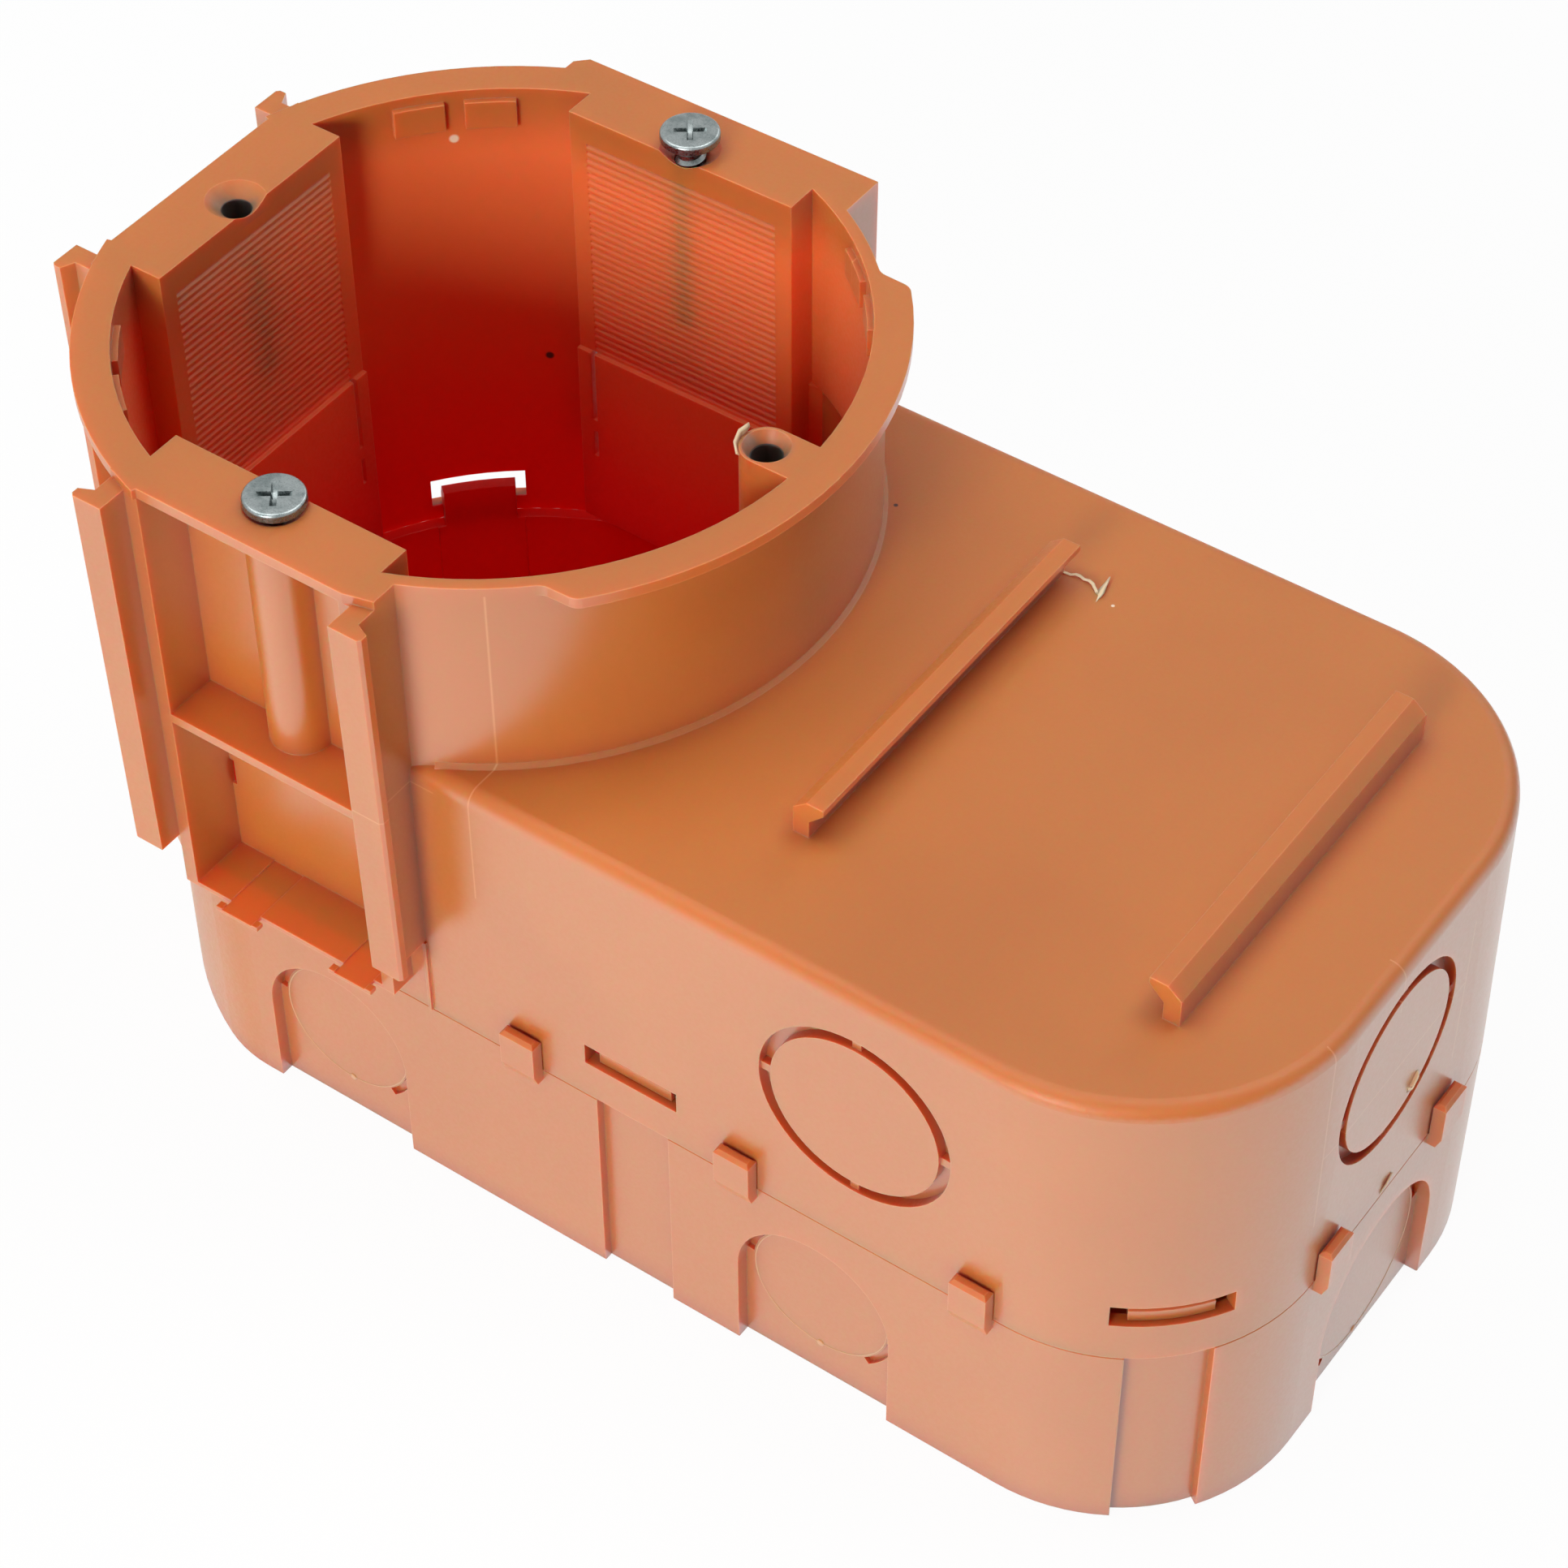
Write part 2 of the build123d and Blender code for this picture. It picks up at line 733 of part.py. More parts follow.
upper_shell.part.label = "upper_shell"


# Back tray
with BuildPart() as lower_tray:
    with BuildSketch():
        add(tray_plan(0))
    extrude(amount=seam_height)
    chamfer(lower_tray.faces().sort_by(Axis.Z)[-1].edges(), seam_bevel)
    fillet(lower_tray.faces().sort_by(Axis.Z)[0].edges(), tray_edge_radius)
    with BuildSketch(Plane.XY.offset(tray_floor)):
        add(tray_plan(tray_wall))
    extrude(amount=seam_height - tray_floor, mode=Mode.SUBTRACT)

    # Latches: a pad inside the tray's wall, a tongue that stands up from it inside the shell, and a
    # barb on the tongue that stands in the window, level underneath and sloped on top
    for kind, turn, _, wall, step, low, _, top in latches:
        tongue_near = wall + tongue_clearance
        tongue_far = tongue_near + tongue_thickness
        with BuildSketch(Plane.XY.offset(tray_floor / 2)):
            add(latch_strip(kind, turn, tongue_half_width + pad_margin, step + tray_wall / 2, tongue_far))
        extrude(amount=seam_height - tray_floor / 2)
        with BuildSketch(Plane.XY.offset(seam_height)):
            add(latch_strip(kind, turn, tongue_half_width, tongue_near, tongue_far))
        extrude(amount=top - seam_height)
        barb_far = tongue_near + tongue_thickness / 2
        with BuildSketch(Plane.XY.offset(low + barb_clearance)):
            add(latch_strip(kind, turn, tongue_half_width, barb_set_back, barb_far))
        extrude(amount=barb_face)
        with BuildSketch(Plane.XY.offset(low + barb_clearance + barb_face)):
            add(latch_strip(kind, turn, tongue_half_width, barb_set_back, barb_far))
        with BuildSketch(Plane.XY.offset(top - barb_below_top)):
            add(latch_strip(kind, turn, tongue_half_width, tongue_near, barb_far))
        loft()

    # Bands in the wall below each latch of the pocket
    for kind, turn, *_ in pocket_latches:
        with BuildSketch():
            add(latch_strip(kind, turn, tongue_half_width, -band_depth, band_depth))
        extrude(amount=seam_height, mode=Mode.SUBTRACT)

    # Clip tabs outside the seam, each on a sloped foot
    for low_strip, high_strip, tab_strip in zip(
        tab_strips(-tab_foot_reach, tray_wall / 2),
        tab_strips(-tab_thickness - tab_clearance, tray_wall / 2),
        tab_strips(-tab_thickness - tab_clearance, -tab_clearance),
    ):
        with BuildSketch(Plane.XY.offset(seam_height - tab_foot)):
            add(low_strip)
        with BuildSketch(Plane.XY.offset(seam_height)):
            add(high_strip)
        loft()
        with BuildSketch(Plane.XY.offset(seam_height)):
            add(tab_strip)
        extrude(amount=tab_height)
    tab_rims = lower_tray.faces().filter_by(Axis.Z).filter_by(lambda face: isclose(face.center().Z, tab_top))
    chamfer(tab_rims.edges(), tab_edge)

    # Arches: backing inside, recess outside, grooves round the disc
    for plane, half_width, height, _ in arch_faces(arch_depth + arch_backing):
        with BuildSketch(plane):
            add(arch_plan(half_width + pad_margin, height))
        extrude(amount=arch_depth + arch_backing - tray_wall / 2)
    for plane, half_width, height, _ in arch_faces(arch_depth):
        with BuildSketch(plane):
            add(arch_plan(half_width, height))
        extrude(amount=2 * arch_depth, mode=Mode.SUBTRACT)
    for plane, half_width, height, arcs in arch_faces(arch_depth + arch_groove_depth):
        with BuildSketch(plane):
            add(arch_groove_plan(half_width, height, arcs))
        extrude(amount=2 * arch_groove_depth, mode=Mode.SUBTRACT)

lower_tray.part.label = "lower_tray"


def screw_profile(y, seat):
    """Half section of a device screw whose head rests at a height: flat head, shank and blunt point."""
    with BuildSketch(Plane.XZ.offset(-y)) as profile:
        with BuildLine():
            Polyline(
                (0, seat - screw_length),
                (screw_radius / 2, seat - screw_length),
                (screw_radius, seat - screw_length + screw_tip_length),
                (screw_radius, seat),
                (screw_head_radius, seat),
                (screw_head_radius, seat + screw_head_height - screw_head_edge),
                (screw_head_radius - screw_head_edge, seat + screw_head_height),
                (0, seat + screw_head_height),
                close=True,
            )
        make_face()
    return profile.sketch


os.makedirs("parts", exist_ok=True)
export_step(upper_shell.part, "parts/upper_shell.step")
export_step(lower_tray.part, "parts/lower_tray.step")

# Device screws: neither is quite screwed home, and the rear one stands a little prouder
device_screws = (
    ("device_screw_front", -screw_reach, box_height + front_screw_gap),
    ("device_screw_rear", screw_reach, box_height + rear_screw_gap),
)
for screw_name, screw_y, seat_height in device_screws:
    with BuildPart() as device_screw:
        add(screw_profile(screw_y, seat_height))
        revolve(axis=Axis((0, screw_y, 0), (0, 0, 1)))
        with BuildSketch(Plane.XY.offset(seat_height + screw_head_height)):
            with Locations((0, screw_y)):
                Rectangle(screw_slot_length, screw_slot_width, rotation=screw_turn)
                Rectangle(screw_slot_width, screw_slot_length, rotation=screw_turn)
        extrude(amount=-screw_slot_depth, mode=Mode.SUBTRACT)
    device_screw.part.label = screw_name
    export_step(device_screw.part, f"parts/{screw_name}.step")
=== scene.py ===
"""Looks of a flush-mounting junction box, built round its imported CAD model."""

import logging
import math
from dataclasses import dataclass, field
from enum import Enum

import bmesh
import bpy
from mathutils import Matrix, Vector


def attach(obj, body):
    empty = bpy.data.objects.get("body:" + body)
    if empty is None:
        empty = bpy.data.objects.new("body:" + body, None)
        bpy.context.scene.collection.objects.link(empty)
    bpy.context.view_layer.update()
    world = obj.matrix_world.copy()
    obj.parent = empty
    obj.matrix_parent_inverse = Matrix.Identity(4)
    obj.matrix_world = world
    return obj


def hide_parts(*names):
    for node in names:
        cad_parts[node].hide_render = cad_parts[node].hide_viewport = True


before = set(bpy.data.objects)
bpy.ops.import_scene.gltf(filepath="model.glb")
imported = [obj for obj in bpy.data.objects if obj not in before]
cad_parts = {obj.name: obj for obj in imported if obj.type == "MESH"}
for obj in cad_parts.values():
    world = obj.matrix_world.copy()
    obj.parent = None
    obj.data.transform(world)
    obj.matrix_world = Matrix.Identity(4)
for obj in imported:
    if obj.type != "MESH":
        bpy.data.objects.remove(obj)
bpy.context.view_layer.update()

MM = 0.001
FULL_TURN = 2 * math.pi
WELD = 0.002 * MM
SPIN_WELD = 0.001 * MM
SCREW_REACH = 30.0 * MM
RIM_HEIGHT = 77.3 * MM
FRONT_GAP = 0.2 * MM
REAR_GAP = 1.2 * MM

log = logging.getLogger("junction_box")


class Body(Enum):
    """Moving bodies of the box, as the record names them."""

    HOUSING = "housing"
    FRONT_SCREW = "front_screw"
    REAR_SCREW = "rear_screw"


class Slot(Enum):
    """Material slots of the record."""

    ORANGE_PLASTIC = "orange_plastic"
    ZINC_STEEL = "zinc_steel"


class Socket(Enum):
    """Kinds of socket that a node group's interface takes."""

    NUMBER = "NodeSocketFloat"
    COLOUR = "NodeSocketColor"
    VECTOR = "NodeSocketVector"


class Wiring:
    """A node tree, with short ways to add and join its nodes."""

    def __init__(self, tree: bpy.types.NodeTree) -> None:
        """Keeps the tree that the nodes go into."""
        self.tree = tree

    def add(self, kind: str, **settings: object) -> bpy.types.Node:
        """Adds one node.

        Args:
            kind: Blender's name for the type of node.
            settings: Properties of the node to set.

        Returns:
            The new node.
        """
        node = self.tree.nodes.new(kind)
        for name, value in settings.items():
            setattr(node, name, value)
        return node

    def feed(self, source: object, target: bpy.types.NodeSocket) -> None:
        """Joins an output to an input, or sets the input where the source is a plain value.

        Args:
            source: Output or plain value.
            target: Input that takes it.
        """
        if isinstance(source, bpy.types.NodeSocket):
            self.tree.links.new(source, target)
        else:
            target.default_value = source

    def math(self, operation: str, *values: object, clamp: bool = False) -> bpy.types.NodeSocket:
        """Adds a Math node.

        Args:
            operation: Blender's name for the sum.
            values: Outputs or numbers for its inputs, in order.
            clamp: Whether the result is kept between 0 and 1.

        Returns:
            The node's output.
        """
        node = self.add("ShaderNodeMath", operation=operation, use_clamp=clamp)
        for value, socket in zip(values, node.inputs):
            self.feed(value, socket)
        return node.outputs[0]

    def mix(self, factor: object, first: object, second: object) -> bpy.types.NodeSocket:
        """Mixes two colours.

        Args:
            factor: Share of the second colour.
            first: Colour or output where the factor is 0.
            second: Colour or output where the factor is 1.

        Returns:
            The mixed colour.
        """
        node = self.add("ShaderNodeMix", data_type="RGBA")
        self.feed(factor, node.inputs["Factor"])
        self.feed(first, node.inputs["A"])
        self.feed(second, node.inputs["B"])
        return node.outputs["Result"]

    def ramp(
        self, value: object, low: object, high: object, start: float, end: float
    ) -> bpy.types.NodeSocket:
        """Maps a value smoothly from one range to another.

        Args:
            value: Output to map.
            low: Number or output that gives the start.
            high: Number or output that gives the end.
            start: Result at and below the low value.
            end: Result at and above the high value.

        Returns:
            The mapped value.
        """
        node = self.add("ShaderNodeMapRange", interpolation_type="SMOOTHSTEP")
        for source, name in zip(
            (value, low, high, start, end), ("Value", "From Min", "From Max", "To Min", "To Max")
        ):
            self.feed(source, node.inputs[name])
        return node.outputs["Result"]

    def group(self, tree: bpy.types.NodeTree, **values: object) -> bpy.types.Node:
        """Places a shared node group.

        Args:
            tree: The group.
            values: Numbers or outputs for its inputs by name, with underscores for spaces.

        Returns:
            The placed node.
        """
        node = self.add("ShaderNodeGroup", node_tree=tree)
        for name, value in values.items():
            self.feed(value, node.inputs[name.replace("_", " ")])
        return node

    def place(self) -> bpy.types.NodeSocket:
        """Gives the place on the piece."""
        return self.add("ShaderNodeTexCoord").outputs["Object"]

    def split(self, vector: bpy.types.NodeSocket) -> tuple[bpy.types.NodeSocket, ...]:
        """Splits a vector.

        Args:
            vector: Output to split.

        Returns:
            Its X, Y and Z.
        """
        node = self.add("ShaderNodeSeparateXYZ")
        self.feed(vector, node.inputs[0])
        return tuple(node.outputs)

    def bump(self, height: bpy.types.NodeSocket, strength: float, depth: float) -> bpy.types.Node:
        """Adds a Bump node.

        Args:
            height: Height over the surface.
            strength: Share of the effect that is kept.
            depth: Depth of the full height, in metres.

        Returns:
            The node, whose Normal input is free.
        """
        node = self.add("ShaderNodeBump")
        node.inputs["Strength"].default_value = strength
        node.inputs["Distance"].default_value = depth
        self.feed(height, node.inputs["Height"])
        return node


class SharedEffects:
    """Node groups that more than one finish uses."""

    def __init__(self) -> None:
        """Builds each group once."""
        self.edges = self._soft_edges()
        self.grain = self._grain()
        self.hair_line = self._hair_line()
        self.room = self._room()
        self.pit = self._pit()
        self.speck = self._speck()
        self.crevice = self._crevice()

    @staticmethod
    def _new_group(
        name: str, inputs: dict[str, Socket], outputs: dict[str, Socket]
    ) -> tuple[Wiring, bpy.types.Node, bpy.types.Node]:
        """Starts a node group.

        Args:
            name: Name of the group.
            inputs: Input names and kinds.
            outputs: Output names and kinds.

        Returns:
            The wiring of the group, its input node and its output node.
        """
        tree = bpy.data.node_groups.new(name, "ShaderNodeTree")
        for sockets, way in ((inputs, "INPUT"), (outputs, "OUTPUT")):
            for label, kind in sockets.items():
                tree.interface.new_socket(label, in_out=way, socket_type=kind.value)
        wiring = Wiring(tree)
        return wiring, wiring.add("NodeGroupInput"), wiring.add("NodeGroupOutput")

    def _soft_edges(self) -> bpy.types.NodeTree:
        """Rounds the shading over sharp edges, and gives a mask of where they are, for a painted
        highlight.

        Returns:
            The node group.
        """
        wiring, start, end = self._new_group(
            "soft_edges",
            {"Radius": Socket.NUMBER, "Gain": Socket.NUMBER},
            {"Normal": Socket.VECTOR, "Edge": Socket.NUMBER},
        )
        bevel = wiring.add("ShaderNodeBevel", samples=4)
        wiring.feed(start.outputs["Radius"], bevel.inputs["Radius"])
        geometry = wiring.add("ShaderNodeNewGeometry")
        dot = wiring.add("ShaderNodeVectorMath", operation="DOT_PRODUCT")
        wiring.feed(bevel.outputs["Normal"], dot.inputs[0])
        wiring.feed(geometry.outputs["Normal"], dot.inputs[1])
        turned = wiring.math("SUBTRACT", 1.0, dot.outputs["Value"])
        edge = wiring.math("MULTIPLY", turned, start.outputs["Gain"], clamp=True)
        wiring.feed(bevel.outputs["Normal"], end.inputs["Normal"])
        wiring.feed(edge, end.inputs["Edge"])
        return wiring.tree

    def _grain(self) -> bpy.types.NodeTree:
        """Fine grain of a moulded or plated surface, and slow cloudy variation.

        Returns:
            The node group.
        """
        wiring, start, end = self._new_group(
            "grain",
            {"Grain Scale": Socket.NUMBER, "Cloud Scale": Socket.NUMBER},
            {"Grain": Socket.NUMBER, "Cloud": Socket.NUMBER},
        )
        place = wiring.place()
        for scale, detail, name in (("Grain Scale", 2.0, "Grain"), ("Cloud Scale", 3.0, "Cloud")):
            noise = wiring.add("ShaderNodeTexNoise")
            wiring.feed(place, noise.inputs["Vector"])
            wiring.feed(start.outputs[scale], noise.inputs["Scale"])
            noise.inputs["Detail"].default_value = detail
            wiring.feed(noise.outputs["Fac"], end.inputs[name])
        return wiring.tree

    def _hair_line(self) -> bpy.types.NodeTree:
        """Mask of a hair line: thin across one coordinate, between two ends along another.

        Returns:
            The node group.
        """
        wiring, start, end = self._new_group(
            "hair_line",
            {
                "Across": Socket.NUMBER,
                "At": Socket.NUMBER,
                "Width": Socket.NUMBER,
                "Along": Socket.NUMBER,
                "From": Socket.NUMBER,
                "To": Socket.NUMBER,
            },
            {"Line": Socket.NUMBER},
        )
        away = wiring.math(
            "ABSOLUTE", wiring.math("SUBTRACT", start.outputs["Across"], start.outputs["At"])
        )
        share = wiring.math("DIVIDE", away, start.outputs["Width"])
        thin = wiring.math("SUBTRACT", 1.0, share, clamp=True)
        after = wiring.math("GREATER_THAN", start.outputs["Along"], start.outputs["From"])
        before = wiring.math("LESS_THAN", start.outputs["Along"], start.outputs["To"])
        line = wiring.math("MULTIPLY", thin, wiring.math("MULTIPLY", after, before))
        wiring.feed(line, end.inputs["Line"])
        return wiring.tree

    def _room(self) -> bpy.types.NodeTree:
        """Masks of the room inside the collar, its depth, upright faces and the lee of the far end.

        Returns:
            The node group.
        """
        wiring, start, end = self._new_group(
            "room",
            {
                "Radius": Socket.NUMBER,
                "Top": Socket.NUMBER,
                "Seam": Socket.NUMBER,
                "Recess Back": Socket.NUMBER,
                "Recess Half Width": Socket.NUMBER,
                "Tray Half Width": Socket.NUMBER,
            },
            {
                "Inside": Socket.NUMBER,
                "Depth": Socket.NUMBER,
                "Upright": Socket.NUMBER,
                "Lee": Socket.NUMBER,
            },
        )
        x, y, z = wiring.split(wiring.place())
        normal = wiring.add("ShaderNodeNewGeometry").outputs["Normal"]
        normal_x, normal_y, normal_z = wiring.split(normal)
        flat = wiring.add("ShaderNodeCombineXYZ")
        wiring.feed(x, flat.inputs[0])
        wiring.feed(y, flat.inputs[1])
        reach = wiring.add("ShaderNodeVectorMath", operation="LENGTH")
        wiring.feed(flat.outputs[0], reach.inputs[0])
        along = wiring.math(
            "ADD", wiring.math("MULTIPLY", x, normal_x), wiring.math("MULTIPLY", y, normal_y)
        )
        outward = wiring.math("DIVIDE", along, reach.outputs["Value"])
        near = wiring.math("LESS_THAN", reach.outputs["Value"], start.outputs["Radius"])
        recesses = []
        side_y = wiring.math("ABSOLUTE", y)
        side_x = wiring.math("ABSOLUTE", x)
        left = wiring.math("MULTIPLY", x, -1.0)
        for forth, aside in ((side_y, side_x), (left, side_y)):
            beyond = wiring.math("GREATER_THAN", forth, start.outputs["Recess Back"])
            narrow = wiring.math("LESS_THAN", aside, start.outputs["Recess Half Width"])
            recesses.append(wiring.math("MULTIPLY", beyond, narrow))
        inward = wiring.ramp(outward, 0.5, 0.7, 1.0, 0.0)
        upper = wiring.math("SUBTRACT", inward, wiring.math("MAXIMUM", *recesses), clamp=True)
        floor = wiring.math(
            "MULTIPLY",
            wiring.math("GREATER_THAN", normal_z, 0.5),
            wiring.math("LESS_THAN", side_y, start.outputs["Tray Half Width"]),
        )
        lower = wiring.math("MAXIMUM", wiring.ramp(outward, -0.5, -0.35, 1.0, 0.0), floor)
        low = wiring.math("LESS_THAN", z, start.outputs["Seam"])
        part = wiring.math("MULTIPLY_ADD", low, wiring.math("SUBTRACT", lower, upper), upper)
        room = wiring.math("MULTIPLY", part, near)
        drop = wiring.math("SUBTRACT", start.outputs["Top"], z)
        below = wiring.math("DIVIDE", drop, start.outputs["Top"])
        inside = wiring.math("MULTIPLY", room, wiring.ramp(below, 0.0, 0.10, 0.0, 1.0))
        wiring.feed(inside, end.inputs["Inside"])
        wiring.feed(wiring.ramp(below, 0.16, 0.66, 0.0, 1.0), end.inputs["Depth"])
        tilt = wiring.math("ABSOLUTE", normal_z)
        wiring.feed(wiring.ramp(tilt, 0.4, 0.85, 1.0, 0.0), end.inputs["Upright"])
        wiring.feed(wiring.ramp(normal_x, -0.1, 0.6, 1.0, 0.0), end.inputs["Lee"])
        return wiring.tree

    def _pit(self) -> bpy.types.NodeTree:
        """Masks of two upright holes, one on each side of the axis, and of a ring round them.

        Returns:
            The node group.
        """
        wiring, start, end = self._new_group(
            "pit",
            {
                "Reach": Socket.NUMBER,
                "Radius": Socket.NUMBER,
                "Hole Foot": Socket.NUMBER,
                "Spread": Socket.NUMBER,
                "Dirt Foot": Socket.NUMBER,
            },
            {"Hole": Socket.NUMBER, "Hole Ring": Socket.NUMBER},
        )
        x, y, z = wiring.split(wiring.place())
        away = wiring.math("SUBTRACT", wiring.math("ABSOLUTE", x), start.outputs["Reach"])
        square = wiring.math("MULTIPLY", y, y)
        distance = wiring.math("SQRT", wiring.math("MULTIPLY_ADD", away, away, square))
        within = wiring.math("LESS_THAN", distance, start.outputs["Radius"])
        deep = wiring.math("GREATER_THAN", z, start.outputs["Hole Foot"])
        wiring.feed(wiring.math("MULTIPLY", within, deep), end.inputs["Hole"])
        hole_ring = wiring.ramp(distance, start.outputs["Radius"], start.outputs["Spread"], 1.0, 0.0)
        above = wiring.math("GREATER_THAN", z, start.outputs["Dirt Foot"])
        wiring.feed(wiring.math("MULTIPLY", hole_ring, above), end.inputs["Hole Ring"])
        return wiring.tree

    def _crevice(self) -> bpy.types.NodeTree:
        """Mask of corners and grooves for painted shade, where light comes only through the plastic.

        Returns:
            The node group.
        """
        wiring, start, end = self._new_group(
            "crevice", {"Distance": Socket.NUMBER}, {"Crevice": Socket.NUMBER}
        )
        closed = wiring.add("ShaderNodeAmbientOcclusion", samples=1)
        wiring.feed(start.outputs["Distance"], closed.inputs["Distance"])
        wiring.feed(wiring.ramp(closed.outputs["AO"], 0.30, 0.80, 1.0, 0.0), end.inputs["Crevice"])
        return wiring.tree

    def _speck(self) -> bpy.types.NodeTree:
        """Mask of a speck: a small ball round a point, cut by the surface.

        Returns:
            The node group.
        """
        wiring, start, end = self._new_group(
            "speck", {"Point": Socket.VECTOR, "Radius": Socket.NUMBER}, {"Speck": Socket.NUMBER}
        )
        away = wiring.add("ShaderNodeVectorMath", operation="DISTANCE")
        wiring.feed(wiring.place(), away.inputs[0])
        wiring.feed(start.outputs["Point"], away.inputs[1])
        core = wiring.math("MULTIPLY", start.outputs["Radius"], 0.5)
        speck = wiring.ramp(away.outputs["Value"], core, start.outputs["Radius"], 1.0, 0.0)
        wiring.feed(speck, end.inputs["Speck"])
        return wiring.tree


def new_finish(name: str) -> tuple[bpy.types.Material, Wiring, bpy.types.Node]:
    """Starts a finish.

    Args:
        name: Name of the material.

    Returns:
        The material, its wiring and its Principled shader.
    """
    material = bpy.data.materials.new(name)
    material.use_nodes = True
    return material, Wiring(material.node_tree), material.node_tree.nodes["Principled BSDF"]


@dataclass(frozen=True)
class OrangePlastic:
    """Satin moulded orange plastic that lets a little light through."""

    name: str = "orange_plastic"
    colour: tuple[float, float, float, float] = (0.55, 0.172, 0.022, 1.0)
    deep_colour: tuple[float, float, float, float] = (0.52, 0.156, 0.018, 1.0)
    # Lighter colour for sharp edges and parting lines: painted highlight.
    edge_highlight_colour: tuple[float, float, float, float] = (0.72, 0.36, 0.15, 1.0)
    # Red inside the room, deeper towards the bottom: painted glow of light through the walls and painted
    # shade.
    room_glow_and_shade_colour: tuple[float, float, float, float] = (0.78, 0.17, 0.040, 1.0)
    room_deep_glow_and_shade_colour: tuple[float, float, float, float] = (0.86, 0.004, 0.003, 1.0)
    # Near black inside the open screw holes: painted shade.
    hole_shade_colour: tuple[float, float, float, float] = (0.060, 0.042, 0.032, 1.0)
    room_radius: float = 34.15 * MM
    room_top: float = 77.2 * MM
    seam: float = 24.0 * MM
    recess_back: float = 28.5 * MM
    recess_half_width: float = 12.0 * MM
    tray_half_width: float = 30.5 * MM
    hole_reach: float = 30.0 * MM
    hole_radius: float = 1.5 * MM
    hole_foot: float = 57.3 * MM
    # Darker brown patches in a ring round the open screw holes.
    hole_ring_spread: float = 2.8 * MM
    hole_ring_foot: float = 75.6 * MM
    hole_ring_colour: tuple[float, float, float, float] = (0.20, 0.12, 0.07, 1.0)
    parting_x: float = 21.1 * MM
    parting_reach: tuple[float, float] = (43.0 * MM, 76.4 * MM)
    rail_parting_height: float = 54.1 * MM
    rail_parting_reach: tuple[float, float] = (12.7 * MM, 17.2 * MM)
    line_half_width: float = 0.12 * MM
    line_strength: float = 0.7
    end_wall: float = 95.5 * MM
    end_uprights: tuple[tuple[float, float, float], ...] = (
        (-3.3 * MM, 50.5 * MM, 58.0 * MM),
        (9.9 * MM, 32.0 * MM, 50.0 * MM),
        (-14.4 * MM, 33.0 * MM, 56.0 * MM),
    )
    end_level: tuple[float, float, float] = (42.1 * MM, -14.4 * MM, 9.9 * MM)
    dark_specks: tuple[tuple[float, float, float, float], ...] = (
        (30.5 * MM, 19.7 * MM, 56.1 * MM, 0.28 * MM),
        (-17.6 * MM, 29.1 * MM, 44.6 * MM, 0.55 * MM),
        (79.6 * MM, -0.4 * MM, 58.6 * MM, 0.30 * MM),
    )
    pale_specks: tuple[tuple[float, float, float, float], ...] = (
        (-23.9 * MM, 24.2 * MM, 71.8 * MM, 0.60 * MM),
        (54.1 * MM, 19.7 * MM, 56.1 * MM, 0.22 * MM),
    )
    speck_colour: tuple[float, float, float, float] = (0.07, 0.025, 0.012, 1.0)
    pale_colour: tuple[float, float, float, float] = (0.88, 0.70, 0.52, 1.0)
    grain_scale: float = 2600.0
    cloud_scale: float = 28.0
    grain_strength: float = 0.12
    grain_depth: float = 0.05 * MM
    roughness: float = 0.48
    roughness_spread: tuple[float, float] = (-0.05, 0.08)
    gloss: float = 0.40
    sheen: float = 0.06
    sheen_roughness: float = 0.35
    veil_ior: float = 2.2
    veil_roughness: float = 0.28
    see_through: float = 1.0
    scatter_colour: tuple[float, float, float] = (1.0, 0.06, 0.02)
    scatter_depth: float = 2.8 * MM
    edge_gain: float = 3.0
    edge_radius: float = 0.18 * MM
    # Deep red for corners and grooves: painted shade.
    crevice_shade_colour: tuple[float, float, float, float] = (0.44, 0.060, 0.014, 1.0)
    crevice_reach: float = 3.0 * MM

    def build(self, effects: SharedEffects) -> bpy.types.Material:
        """Builds the material.

        Args:
            effects: Node groups to place in it.

        Returns:
            The finished material.
        """
        material, wiring, shader = new_finish(self.name)
        grain = wiring.group(effects.grain, Grain_Scale=self.grain_scale, Cloud_Scale=self.cloud_scale)
        edges = wiring.group(effects.edges, Radius=self.edge_radius, Gain=self.edge_gain)
        cloud = wiring.ramp(grain.outputs["Cloud"], 0.35, 0.65, 0.0, 1.0)
        body = wiring.mix(cloud, self.colour, self.deep_colour)
        # Sharp edges lightened: painted highlight.
        skin = wiring.mix(edges.outputs["Edge"], body, self.edge_highlight_colour)
        room = wiring.group(
            effects.room,
            Radius=self.room_radius,
            Top=self.room_top,
            Seam=self.seam,
            Recess_Back=self.recess_back,
            Recess_Half_Width=self.recess_half_width,
            Tray_Half_Width=self.tray_half_width,
        )
        # Room colour by depth: painted glow and painted shade.
        inner = wiring.mix(room.outputs["Depth"], self.room_glow_and_shade_colour, self.room_deep_glow_and_shade_colour)
        outside = wiring.math("SUBTRACT", 1.0, room.outputs["Inside"])
        # Corners and grooves turn deep red by occlusion: painted shade.
        crevice = wiring.group(effects.crevice, Distance=self.crevice_reach)
        skin = wiring.mix(crevice.outputs["Crevice"], skin, self.crevice_shade_colour)
